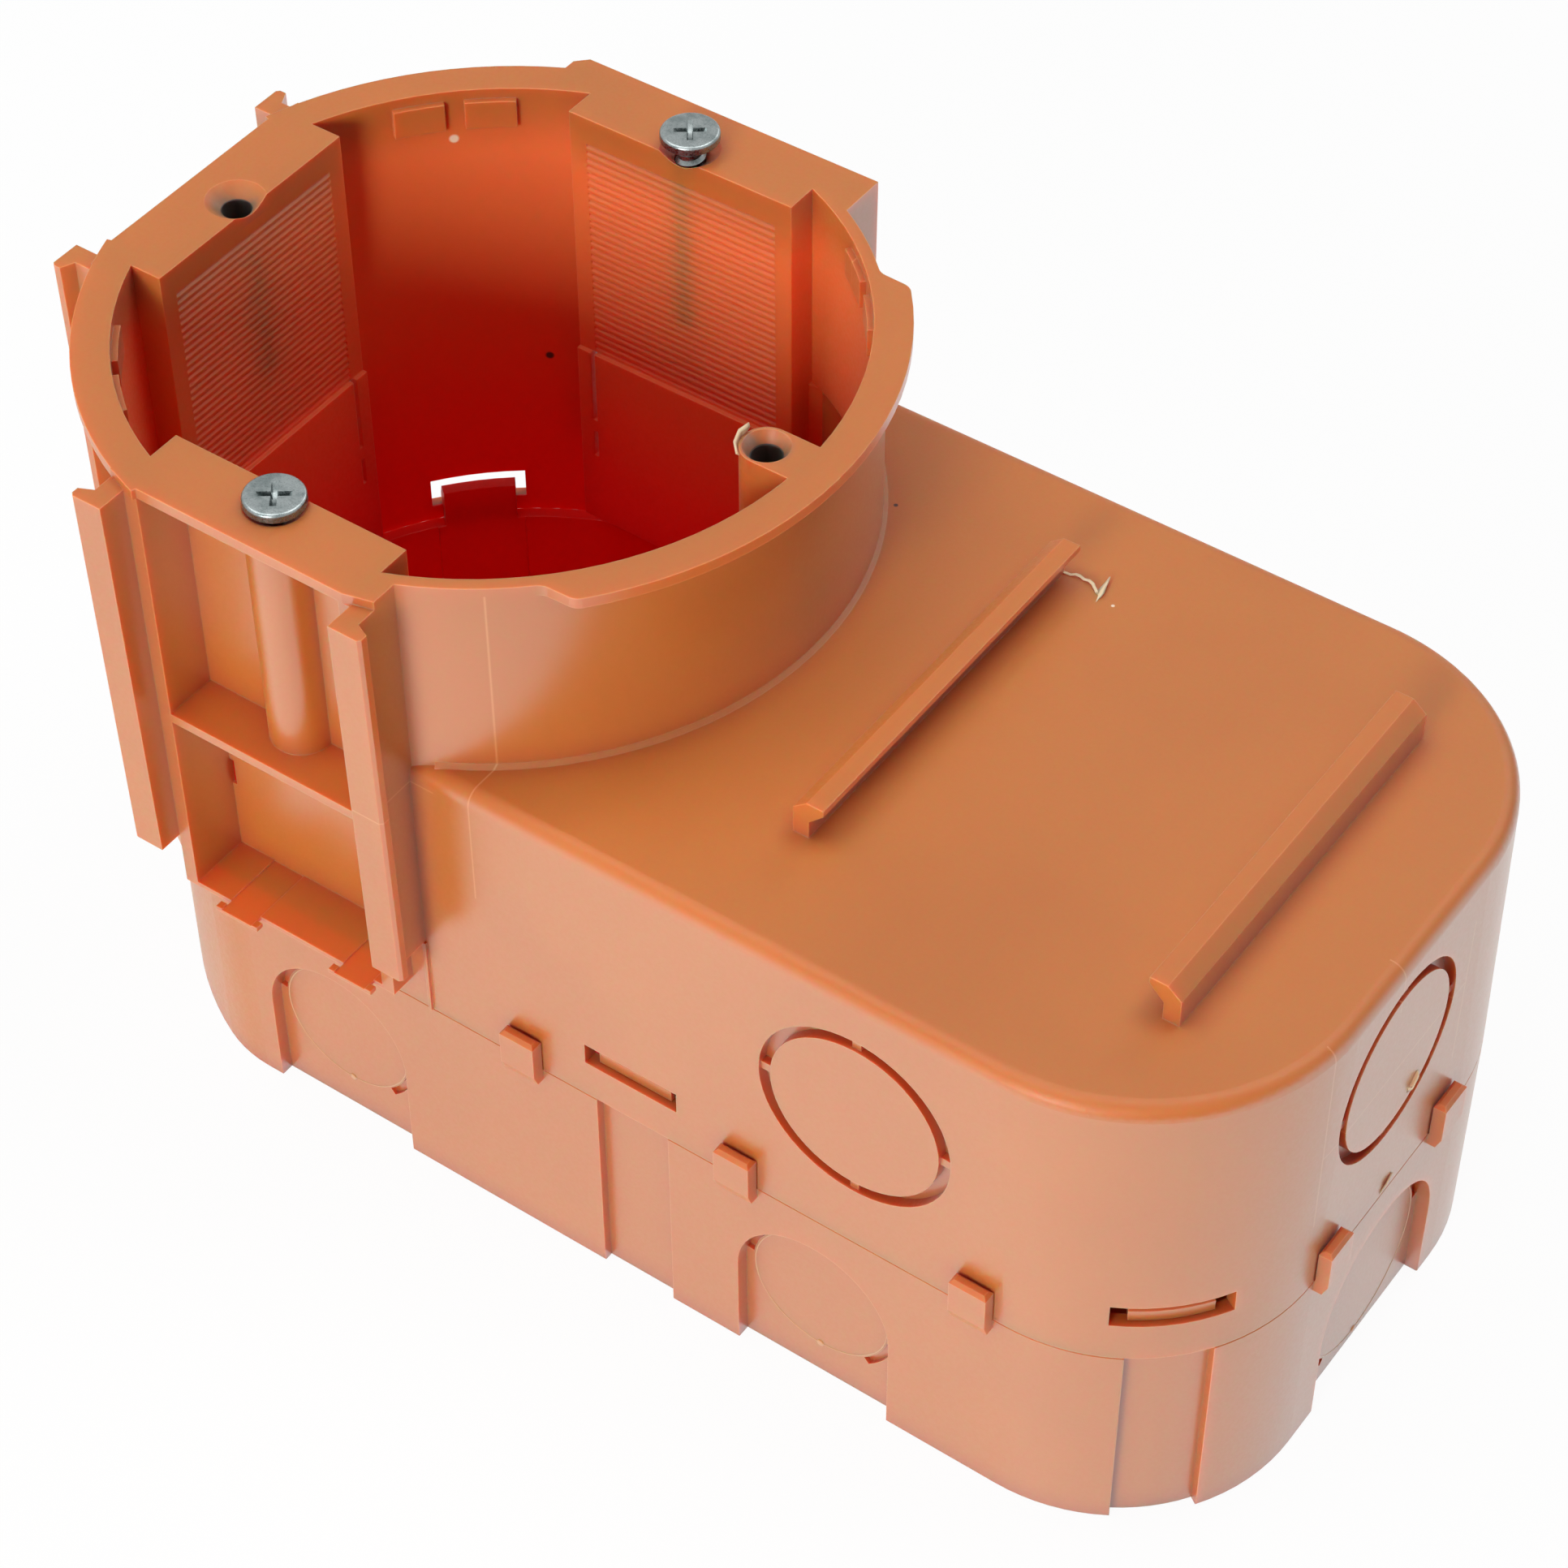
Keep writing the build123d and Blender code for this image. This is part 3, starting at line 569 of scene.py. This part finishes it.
        # Mould parting lines, real marks, drawn in the pale edge colour as a painted highlight.
        lines = wiring.math("MULTIPLY", self._lines(wiring, effects), outside)
        lined = wiring.mix(lines, skin, self.edge_highlight_colour)
        whole = self._marks(wiring, effects, wiring.mix(room.outputs["Inside"], lined, inner))
        wiring.feed(whole, shader.inputs["Base Color"])
        smooth, rough = (self.roughness + step for step in self.roughness_spread)
        roughness = wiring.ramp(grain.outputs["Grain"], 0.3, 0.7, smooth, rough)
        wiring.feed(roughness, shader.inputs["Roughness"])
        bump = wiring.bump(grain.outputs["Grain"], self.grain_strength, self.grain_depth)
        wiring.feed(edges.outputs["Normal"], bump.inputs["Normal"])
        wiring.feed(bump.outputs["Normal"], shader.inputs["Normal"])
        shader.inputs["Subsurface Weight"].default_value = self.see_through
        shader.inputs["Subsurface Radius"].default_value = self.scatter_colour
        shader.inputs["Subsurface Scale"].default_value = self.scatter_depth
        facing = wiring.add("ShaderNodeLayerWeight").outputs["Facing"]
        grazing = wiring.ramp(facing, 0.04, 0.34, 0.0, 1.0)
        veil = wiring.math("MULTIPLY", grazing, room.outputs["Upright"])
        fall = wiring.math("MULTIPLY", wiring.ramp(facing, 0.45, 0.62, 0.0, 0.5), room.outputs["Lee"])
        kept = wiring.math("MULTIPLY", outside, wiring.math("SUBTRACT", 1.0, fall))
        wiring.feed(wiring.math("MULTIPLY", veil, kept), shader.inputs["Coat Weight"])
        shader.inputs["Coat IOR"].default_value = self.veil_ior
        shader.inputs["Coat Roughness"].default_value = self.veil_roughness
        shader.inputs["Specular IOR Level"].default_value = self.gloss
        shader.inputs["Sheen Weight"].default_value = self.sheen
        shader.inputs["Sheen Roughness"].default_value = self.sheen_roughness
        return material

    def _lines(self, wiring: Wiring, effects: SharedEffects) -> bpy.types.NodeSocket:
        """Finds the parting lines of the mould.

        Args:
            wiring: Node tree of the material.
            effects: Node groups to place in it.

        Returns:
            Mask of the lines.
        """
        x, y, z = wiring.split(wiring.place())
        everywhere = (
            (x, z, (self.parting_x, *self.parting_reach)),
            (z, x, (self.rail_parting_height, *self.rail_parting_reach)),
        )
        at_end = ((z, y, self.end_level), *((y, z, upright) for upright in self.end_uprights))
        on_end = wiring.math("GREATER_THAN", x, self.end_wall)
        masks = []
        for across, along, (at, low, high) in (*everywhere, *at_end):
            hair = wiring.group(
                effects.hair_line,
                Across=across,
                At=at,
                Width=self.line_half_width,
                Along=along,
                From=low,
                To=high,
            )
            masks.append(hair.outputs["Line"])
        lines = wiring.math("MAXIMUM", *masks[: len(everywhere)])
        for mark in masks[len(everywhere) :]:
            lines = wiring.math("MAXIMUM", lines, wiring.math("MULTIPLY", mark, on_end))
        return wiring.math("MULTIPLY", lines, self.line_strength)

    def _marks(
        self, wiring: Wiring, effects: SharedEffects, colour: bpy.types.NodeSocket
    ) -> bpy.types.NodeSocket:
        """Lays painted shade inside the open screw holes, darker brown patches in a ring round them and
        a few specks over a colour.

        Args:
            wiring: Node tree of the material.
            effects: Node groups to place in it.
            colour: Colour of the plastic without these marks.

        Returns:
            The marked colour.
        """
        pit = wiring.group(
            effects.pit,
            Reach=self.hole_reach,
            Radius=self.hole_radius,
            Hole_Foot=self.hole_foot,
            Spread=self.hole_ring_spread,
            Dirt_Foot=self.hole_ring_foot,
        )
        grain = wiring.group(effects.grain, Grain_Scale=1500.0, Cloud_Scale=420.0)
        patches = wiring.ramp(grain.outputs["Cloud"], 0.3, 0.7, 0.2, 1.0)
        # Darker brown patches in a ring round the holes.
        patchy = wiring.math("MULTIPLY", pit.outputs["Hole Ring"], patches)
        colour = wiring.mix(patchy, colour, self.hole_ring_colour)
        # Inside of the holes near black: painted shade.
        colour = wiring.mix(pit.outputs["Hole"], colour, self.hole_shade_colour)
        kinds = ((self.dark_specks, self.speck_colour), (self.pale_specks, self.pale_colour))
        for specks, tint in kinds:
            for *point, radius in specks:
                speck = wiring.group(effects.speck, Point=point, Radius=radius)
                colour = wiring.mix(speck.outputs["Speck"], colour, tint)
        return colour


TORN_PLASTIC = OrangePlastic(
    name="torn_plastic",
    colour=(0.80, 0.60, 0.38, 1.0),
    deep_colour=(0.72, 0.52, 0.32, 1.0),
    edge_highlight_colour=(0.90, 0.78, 0.60, 1.0),
    crevice_shade_colour=(0.70, 0.48, 0.28, 1.0),
    see_through=0.1,
)
# Paler copy of the orange plastic so the thin raised rings look lit: painted highlight.
RAISED_LINE_HIGHLIGHT_PLASTIC = OrangePlastic(
    name="raised_line_highlight_plastic",
    colour=(0.66, 0.30, 0.12, 1.0),
    deep_colour=(0.62, 0.27, 0.10, 1.0),
    edge_highlight_colour=(0.72, 0.38, 0.18, 1.0),
    crevice_shade_colour=(0.60, 0.24, 0.08, 1.0),
    see_through=0.1,
)


@dataclass(frozen=True)
class ZincPlate:
    """Bright zinc plate on steel, slightly dull and blue-grey."""

    colour: tuple[float, float, float, float] = (0.27, 0.30, 0.30, 1.0)
    dull_colour: tuple[float, float, float, float] = (0.17, 0.20, 0.20, 1.0)
    grain_scale: float = 5200.0
    cloud_scale: float = 900.0
    grain_strength: float = 0.15
    grain_depth: float = 0.02 * MM
    roughness: float = 0.30
    roughness_spread: tuple[float, float] = (-0.06, 0.12)

    def build(self, effects: SharedEffects) -> bpy.types.Material:
        """Builds the material.

        Args:
            effects: Node groups to place in it.

        Returns:
            The finished material.
        """
        material, wiring, shader = new_finish("zinc_steel")
        shader.inputs["Metallic"].default_value = 1.0
        grain = wiring.group(effects.grain, Grain_Scale=self.grain_scale, Cloud_Scale=self.cloud_scale)
        dull = wiring.ramp(grain.outputs["Cloud"], 0.4, 0.7, 0.0, 1.0)
        wiring.feed(wiring.mix(dull, self.colour, self.dull_colour), shader.inputs["Base Color"])
        smooth, rough = (self.roughness + step for step in self.roughness_spread)
        roughness = wiring.ramp(grain.outputs["Grain"], 0.3, 0.7, smooth, rough)
        wiring.feed(roughness, shader.inputs["Roughness"])
        bump = wiring.bump(grain.outputs["Grain"], self.grain_strength, self.grain_depth)
        wiring.feed(bump.outputs["Normal"], shader.inputs["Normal"])
        return material


def finish_piece(
    bm: bmesh.types.BMesh, name: str, material: bpy.types.Material, body: Body
) -> bpy.types.Object:
    """Turns a bmesh into a piece that rides on a body.

    Args:
        bm: Mesh in the row frame, in metres; it is freed.
        name: Name of the piece.
        material: Finish of the piece.
        body: Body that carries it.

    Returns:
        The new object.
    """
    bmesh.ops.remove_doubles(bm, verts=bm.verts, dist=WELD)
    bmesh.ops.recalc_face_normals(bm, faces=bm.faces)
    for face in bm.faces:
        face.smooth = True
    mesh = bpy.data.meshes.new(name)
    bm.to_mesh(mesh)
    bm.free()
    mesh.materials.append(material)
    piece = bpy.data.objects.new(name, mesh)
    bpy.context.scene.collection.objects.link(piece)
    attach(piece, body.value)
    log.info("%s: %d faces on %s", name, len(mesh.polygons), body.value)
    return piece


@dataclass
class DeviceScrew:
    """A device screw: thin flat head with a cross recess, and a threaded shank with a blunt point."""

    node: str
    body: Body
    y: float
    seat: float
    material: bpy.types.Material
    turn: float = math.radians(36)
    head_radius: float = 2.85 * MM
    head_height: float = 0.95 * MM
    head_round: float = 0.32 * MM
    core_radius: float = 1.15 * MM
    crest_radius: float = 1.48 * MM
    length: float = 15.0 * MM
    point: float = 1.2 * MM
    neck: float = 0.5 * MM
    pitch: float = 1.1 * MM
    thread_root: float = 0.9
    crest_at: float = 0.42
    flank_end: float = 0.84
    recess_reach: float = 1.55 * MM
    recess_half_width: float = 0.3 * MM
    recess_depth: float = 0.85 * MM
    recess_taper: float = 0.62
    arm_depth: float = 0.7
    segments: int = 48
    round_steps: int = 5
    split_angle: float = math.radians(35)

    def build(self) -> bpy.types.Object:
        """Builds the screw in place of its CAD node.

        Returns:
            The new object.
        """
        bm = bmesh.new()
        rim = self._lathe(bm)
        self._recess(bm, rim)
        self._thread(bm)
        bmesh.ops.rotate(bm, cent=(0, 0, 0), matrix=Matrix.Rotation(self.turn, 3, "Z"), verts=bm.verts)
        bmesh.ops.translate(bm, vec=(0, self.y, self.seat), verts=bm.verts)
        piece = finish_piece(bm, f"{self.node}_plated", self.material, self.body)
        edges = piece.modifiers.new("hard_edges", "EDGE_SPLIT")
        edges.split_angle = self.split_angle
        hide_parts(self.node)
        return piece

    def _lathe(self, bm: bmesh.types.BMesh) -> list[bmesh.types.BMEdge]:
        """Spins head, shank and point.

        Args:
            bm: Mesh of the screw.

        Returns:
            The edges of the head's open top.
        """
        inner = self.head_radius - self.head_round
        outline = [(inner, self.head_height)]
        for step in range(1, self.round_steps + 1):
            angle = math.pi / 2 * step / self.round_steps
            outline.append(
                (
                    inner + self.head_round * math.sin(angle),
                    self.head_height - self.head_round * (1 - math.cos(angle)),
                )
            )
        outline += [
            (self.head_radius, 0.1 * self.head_height),
            (0.97 * self.head_radius, 0.0),
            (self.core_radius, 0.0),
            (self.core_radius, self.point - self.length),
            (self.core_radius / 2, -self.length),
            (0.0, -self.length),
        ]
        verts = [bm.verts.new((radius, 0.0, height)) for radius, height in outline]
        lines = [bm.edges.new(pair) for pair in zip(verts, verts[1:])]
        bmesh.ops.spin(
            bm,
            geom=verts + lines,
            cent=(0, 0, 0),
            axis=(0, 0, 1),
            angle=FULL_TURN,
            steps=self.segments,
            use_merge=True,
        )
        bmesh.ops.remove_doubles(bm, verts=bm.verts, dist=SPIN_WELD)
        return [edge for edge in bm.edges if edge.is_boundary]

    def _recess(self, bm: bmesh.types.BMesh, rim: list[bmesh.types.BMEdge]) -> None:
        """Fills the head's top round a tapered cross recess.

        Args:
            bm: Mesh of the screw.
            rim: Edges of the open top.
        """
        third = 1 / 3
        grid = bmesh.ops.create_grid(bm, x_segments=3, y_segments=3, size=1.0)["verts"]
        for vert in grid:
            for axis in (0, 1):
                size = self.recess_reach if abs(vert.co[axis]) > 2 * third else self.recess_half_width
                vert.co[axis] = math.copysign(size, vert.co[axis])
            vert.co.z = self.head_height
        faces = {face for vert in grid for face in vert.link_faces}
        border = [edge for face in faces for edge in face.edges if edge.is_boundary]
        middles = {face: face.calc_center_median() for face in faces}
        arms = [
            face
            for face, middle in middles.items()
            if min(abs(middle.x), abs(middle.y)) < self.recess_half_width
        ]
        sunk = bmesh.ops.extrude_face_region(bm, geom=arms)["geom"]
        floor = [item for item in sunk if isinstance(item, bmesh.types.BMVert)]
        bmesh.ops.delete(bm, geom=arms, context="FACES_ONLY")
        bmesh.ops.scale(bm, vec=(self.recess_taper, self.recess_taper, 1.0), verts=floor)
        for vert in floor:
            middle = max(abs(vert.co.x), abs(vert.co.y)) < self.recess_half_width
            vert.co.z -= self.recess_depth if middle else self.arm_depth * self.recess_depth
        parts = bmesh.ops.subdivide_edges(bm, edges=border, cuts=self.segments // len(border) - 1)
        pieces = [item for item in parts["geom_split"] if isinstance(item, bmesh.types.BMEdge)]
        ring = [edge for edge in pieces if edge.is_boundary]
        bmesh.ops.bridge_loops(bm, edges=rim + ring)

    def _thread(self, bm: bmesh.types.BMesh) -> None:
        """Winds the thread's ridge round the shank.

        Args:
            bm: Mesh of the screw.
        """
        inside = self.thread_root * self.core_radius
        low = self.point / 2 - self.length
        turns = (self.length - self.neck - self.point / 2) / self.pitch - 0.5
        section = (
            (inside, 0.0),
            (self.crest_radius, self.crest_at * self.pitch),
            (inside, self.flank_end * self.pitch),
        )
        verts = [bm.verts.new((radius, 0.0, low + height)) for radius, height in section]
        lines = [bm.edges.new((verts[i - 1], verts[i])) for i in range(len(verts))]
        steps = round(turns * self.segments / 2)
        swept = bmesh.ops.spin(
            bm,
            geom=verts + lines,
            cent=(0, 0, 0),
            axis=(0, 0, 1),
            dvec=(0, 0, turns * self.pitch / steps),
            angle=FULL_TURN * turns,
            steps=steps,
            use_merge=False,
        )["geom_last"]
        ends = [item for item in swept if isinstance(item, bmesh.types.BMEdge)]
        bmesh.ops.contextual_create(bm, geom=ends)
        bmesh.ops.contextual_create(bm, geom=lines)


@dataclass(frozen=True)
class Ribbon:
    """A thin torn strip of plastic: one edge as a run of points, the other a step away from each."""

    name: str
    points: tuple[tuple[float, float, float], ...]
    steps: tuple[tuple[float, float, float], ...]
    thickness: float = 0.06 * MM

    def build(self, material: bpy.types.Material) -> bpy.types.Object:
        """Builds the strip.

        Args:
            material: Finish of the strip.

        Returns:
            The new object.
        """
        bm = bmesh.new()
        places = [Vector(point) * MM for point in self.points]
        verts = [bm.verts.new(place) for place in places]
        lines = [bm.edges.new(pair) for pair in zip(verts, verts[1:])]
        sheet = bmesh.ops.extrude_edge_only(bm, edges=lines)["geom"]
        moved = [item for item in sheet if isinstance(item, bmesh.types.BMVert)]
        for vert in moved:
            nearest = min(range(len(places)), key=lambda i: (places[i] - vert.co).length)
            vert.co += Vector(self.steps[nearest]) * MM
        bmesh.ops.subdivide_edges(bm, edges=bm.edges, cuts=2, smooth=0.6, use_grid_fill=True)
        bmesh.ops.recalc_face_normals(bm, faces=bm.faces)
        bmesh.ops.solidify(bm, geom=bm.faces, thickness=self.thickness)
        return finish_piece(bm, self.name, material, Body.HOUSING)


@dataclass
class Swarf:
    """Bits of plastic that still hang on the box where it was cut or torn."""

    material: bpy.types.Material
    ribbons: tuple[Ribbon, ...] = (
        Ribbon(
            "rail_strand",
            (
                (47.2, 20.5, 56.0),
                (48.4, 20.7, 56.25),
                (49.7, 21.0, 56.3),
                (51.1, 20.8, 56.3),
                (51.9, 20.2, 56.15),
            ),
            ((0.0, 0.22, 0.0), (0.0, 0.24, 0.05), (0.0, 0.24, 0.1), (0.2, 0.22, 0.1), (0.28, 0.1, 0.1)),
        ),
        Ribbon(
            "rail_flake",
            ((52.5, 19.2, 56.05), (51.95, 20.2, 56.1), (52.0, 22.4, 56.5)),
            ((0.1, 0.05, 0.05), (0.75, 0.2, 0.25), (0.12, 0.0, 0.05)),
        ),
        Ribbon(
            "rail_dash",
            ((44.4, 20.2, 56.05), (45.5, 20.8, 56.05)),
            ((0.0, 0.14, 0.06), (0.0, 0.14, 0.06)),
        ),
        Ribbon(
            "knockout_burr",
            ((97.0, 0.7, 35.6), (97.2, 1.3, 36.2), (97.2, 1.9, 36.9), (97.0, 2.6, 37.2)),
            ((0.2, 0.2, 0.3), (0.45, -0.1, 0.5), (0.4, 0.2, 0.4), (0.15, 0.1, 0.3)),
            0.15 * MM,
        ),
        Ribbon(
            "seam_fleck",
            ((97.25, -1.5, 24.3), (97.3, -0.6, 24.8), (97.25, 0.3, 25.2)),
            ((0.1, 0.1, 0.25), (0.2, 0.0, 0.6), (0.1, 0.1, 0.3)),
            0.12 * MM,
        ),
        Ribbon(
            "boss_tear",
            ((28.6, -1.9, 76.9), (27.9, -1.2, 76.9), (27.6, -0.3, 76.9), (27.7, 0.6, 76.9)),
            ((-0.25, -0.3, 0.25), (-0.35, -0.2, 0.7), (-0.3, 0.0, 1.15), (-0.05, 0.1, 1.35)),
            0.12 * MM,
        ),
    )

    def build(self) -> None:
        """Builds each bit."""
        for ribbon in self.ribbons:
            ribbon.build(self.material)


@dataclass
class WitnessRings:
    """Fine raised ring and gate mark on each knock-out disc of the tray."""

    material: bpy.types.Material
    side_places: tuple[float, ...] = (2.0 * MM, 57.6 * MM)
    side_face: float = 31.05 * MM
    side_height: float = 11.3 * MM
    side_radius: float = 7.3 * MM
    end_face: float = 95.8 * MM
    end_offset: float = 0.8 * MM
    end_height: float = 9.7 * MM
    end_radius: float = 8.9 * MM
    line_radius: float = 0.09 * MM
    proud: float = 0.045 * MM
    dot_radius: float = 0.4 * MM
    dot_proud: float = 0.16 * MM
    segments: int = 72

    def build(self) -> None:
        """Builds a ring on every disc."""
        for number, x in enumerate(self.side_places, 1):
            for label, side in (("front", -1), ("rear", 1)):
                turn = Matrix.Rotation(-side * math.pi / 2, 4, "X")
                place = Matrix.Translation((x, side * self.side_face, self.side_height)) @ turn
                self._ring(f"arch_ring_{label}_{number}", self.side_radius, place)
        turn = Matrix.Rotation(math.pi / 2, 4, "Y")
        place = Matrix.Translation((self.end_face, self.end_offset, self.end_height)) @ turn
        self._ring("arch_ring_end", self.end_radius, place)

    def _ring(self, name: str, radius: float, place: Matrix) -> None:
        """Builds one ring and its gate mark.

        Args:
            name: Name of the piece.
            radius: Radius of the ring.
            place: Where the ring's plane goes, with Z out of the wall.
        """
        bm = bmesh.new()
        depth = self.proud - self.line_radius
        section = bmesh.ops.create_circle(bm, segments=8, radius=self.line_radius)["verts"]
        bmesh.ops.rotate(bm, cent=(0, 0, 0), matrix=Matrix.Rotation(math.pi / 2, 3, "X"), verts=section)
        bmesh.ops.translate(bm, vec=(radius, 0, depth), verts=section)
        bmesh.ops.spin(
            bm,
            geom=bm.verts[:] + bm.edges[:],
            cent=(0, 0, 0),
            axis=(0, 0, 1),
            angle=FULL_TURN,
            steps=self.segments,
            use_merge=True,
        )
        bmesh.ops.remove_doubles(bm, verts=bm.verts, dist=SPIN_WELD)
        down = place.to_3x3().inverted() @ Vector((0, 0, -1))
        dot = bmesh.ops.create_uvsphere(bm, u_segments=16, v_segments=8, radius=self.dot_radius)["verts"]
        bmesh.ops.scale(bm, vec=(1, 1, self.dot_proud / self.dot_radius), verts=dot)
        bmesh.ops.translate(bm, vec=down * radius, verts=dot)
        bmesh.ops.transform(bm, matrix=place, verts=bm.verts)
        finish_piece(bm, name, self.material, Body.HOUSING)


@dataclass(frozen=True)
class SoftBox:
    """A soft studio lamp, aimed at a point of the box."""

    name: str
    place: tuple[float, float, float]
    size: tuple[float, float]
    power: float
    aim: tuple[float, float, float] = (0.03, 0.0, 0.035)
    colour: tuple[float, float, float] = (1.0, 1.0, 1.0)

    def hang(self) -> None:
        """Adds the lamp to the scene."""
        lamp = bpy.data.lights.new(self.name, "AREA")
        lamp.shape = "RECTANGLE"
        lamp.size, lamp.size_y = self.size
        lamp.energy = self.power
        lamp.color = self.colour
        stand = bpy.data.objects.new(self.name, lamp)
        stand.location = self.place
        way = Vector(self.aim) - Vector(self.place)
        stand.rotation_euler = way.to_track_quat("-Z", "Y").to_euler()
        bpy.context.scene.collection.objects.link(stand)


@dataclass
class Studio:
    """Pale floor, white surroundings, soft lamps and the camera."""

    floor_half: float = 4.0
    floor_drop: float = 0.05 * MM
    floor_colour: tuple[float, float, float, float] = (0.86, 0.86, 0.86, 1.0)
    floor_glow: float = 0.94
    ambient: float = 0.03
    lamps: tuple[SoftBox, ...] = (
        SoftBox("key_top", (-0.30, -0.14, 0.95), (0.65, 0.65), 4.7),
        SoftBox("fill_top", (0.25, 0.35, 1.00), (0.5, 0.5), 3.8),
        SoftBox("front", (0.146, -0.943, 0.35), (0.35, 0.3), 8.0),
        SoftBox("back", (0.10, 0.90, 0.60), (0.35, 0.3), 1.2),
    )
    lens: float = 94.327
    sensor: float = 36.0
    shift: tuple[float, float] = (0.05003, 0.04040)
    camera_place: Vector = field(default_factory=lambda: Vector((0.18585, -0.21726, 0.31151)))
    camera_right: Vector = field(default_factory=lambda: Vector((0.80950, 0.58689, -0.01673)))
    camera_up: Vector = field(default_factory=lambda: Vector((-0.41858, 0.59686, 0.68450)))
    camera_back: Vector = field(default_factory=lambda: Vector((0.41171, -0.54710, 0.72882)))

    def build(self) -> None:
        """Builds the whole studio."""
        self._floor()
        self._surroundings()
        for lamp in self.lamps:
            lamp.hang()
        self._camera()
        bpy.context.scene.view_settings.view_transform = "Standard"

    @staticmethod
    def _seen(wiring: Wiring) -> bpy.types.NodeSocket:
        """Finds the rays that show the surroundings: from the camera, or off or through a surface.

        Args:
            wiring: Node tree of a stage material or of the world.

        Returns:
            1 for such a ray, and 0 for one that carries light.
        """
        path = wiring.add("ShaderNodeLightPath")
        bright = wiring.math("MAXIMUM", path.outputs["Is Camera Ray"], path.outputs["Is Glossy Ray"])
        return wiring.math("MAXIMUM", bright, path.outputs["Is Transmission Ray"])

    def _floor(self) -> None:
        """Lays the pale floor, which shows white with a soft shadow."""
        bm = bmesh.new()
        bmesh.ops.create_grid(bm, x_segments=1, y_segments=1, size=self.floor_half)
        bmesh.ops.translate(bm, vec=(0, 0, -self.floor_drop), verts=bm.verts)
        mesh = bpy.data.meshes.new("floor")
        bm.to_mesh(mesh)
        bm.free()
        material = bpy.data.materials.new("pale_floor")
        material.use_nodes = True
        wiring = Wiring(material.node_tree)
        material.node_tree.nodes.remove(material.node_tree.nodes["Principled BSDF"])
        paper = wiring.add("ShaderNodeBsdfDiffuse")
        paper.inputs["Color"].default_value = self.floor_colour
        white = wiring.add("ShaderNodeEmission")
        blend = wiring.add("ShaderNodeMixShader")
        wiring.feed(wiring.math("MULTIPLY", self._seen(wiring), self.floor_glow), blend.inputs["Fac"])
        wiring.feed(paper.outputs[0], blend.inputs[1])
        wiring.feed(white.outputs[0], blend.inputs[2])
        output = material.node_tree.nodes["Material Output"]
        wiring.feed(blend.outputs[0], output.inputs["Surface"])
        mesh.materials.append(material)
        floor = bpy.data.objects.new("floor", mesh)
        bpy.context.scene.collection.objects.link(floor)

    def _surroundings(self) -> None:
        """Sets the white surroundings, dimmer as a light than as they look."""
        world = bpy.data.worlds.new("surroundings")
        world.use_nodes = True
        wiring = Wiring(world.node_tree)
        ground = world.node_tree.nodes["Background"]
        ground.inputs["Color"].default_value = (1.0, 1.0, 1.0, 1.0)
        strength = wiring.ramp(self._seen(wiring), 0.0, 1.0, self.ambient, 1.0)
        wiring.feed(strength, ground.inputs["Strength"])
        bpy.context.scene.world = world

    def _camera(self) -> None:
        """Sets the camera up."""
        data = bpy.data.cameras.new("camera")
        data.lens = self.lens
        data.sensor_fit = "HORIZONTAL"
        data.sensor_width = self.sensor
        data.shift_x, data.shift_y = self.shift
        camera = bpy.data.objects.new("camera", data)
        turn = Matrix((self.camera_right, self.camera_up, self.camera_back)).transposed()
        camera.matrix_world = Matrix.Translation(self.camera_place) @ turn.to_4x4()
        bpy.context.scene.collection.objects.link(camera)
        bpy.context.scene.camera = camera


@dataclass
class Mouldings:
    """The two orange mouldings, whose CAD nodes are shown as they are."""

    material: bpy.types.Material
    nodes: tuple[str, ...] = ("upper_shell", "lower_tray")

    def dress(self) -> None:
        """Gives each moulding its finish."""
        for name in self.nodes:
            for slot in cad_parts[name].material_slots:
                slot.material = self.material
            log.info("%s: dressed", name)


def main() -> None:
    """Builds the pieces in order."""
    logging.basicConfig(level=logging.INFO, format="%(name)s: %(message)s")
    effects = SharedEffects()
    plastic = OrangePlastic().build(effects)
    zinc = ZincPlate().build(effects)
    Mouldings(plastic).dress()
    for node, body, y, gap in (
        ("device_screw_front", Body.FRONT_SCREW, -SCREW_REACH, FRONT_GAP),
        ("device_screw_rear", Body.REAR_SCREW, SCREW_REACH, REAR_GAP),
    ):
        DeviceScrew(node, body, y, RIM_HEIGHT + gap, zinc).build()
    Swarf(TORN_PLASTIC.build(effects)).build()
    WitnessRings(RAISED_LINE_HIGHLIGHT_PLASTIC.build(effects)).build()
    Studio().build()


if __name__ == "__main__":
    main()
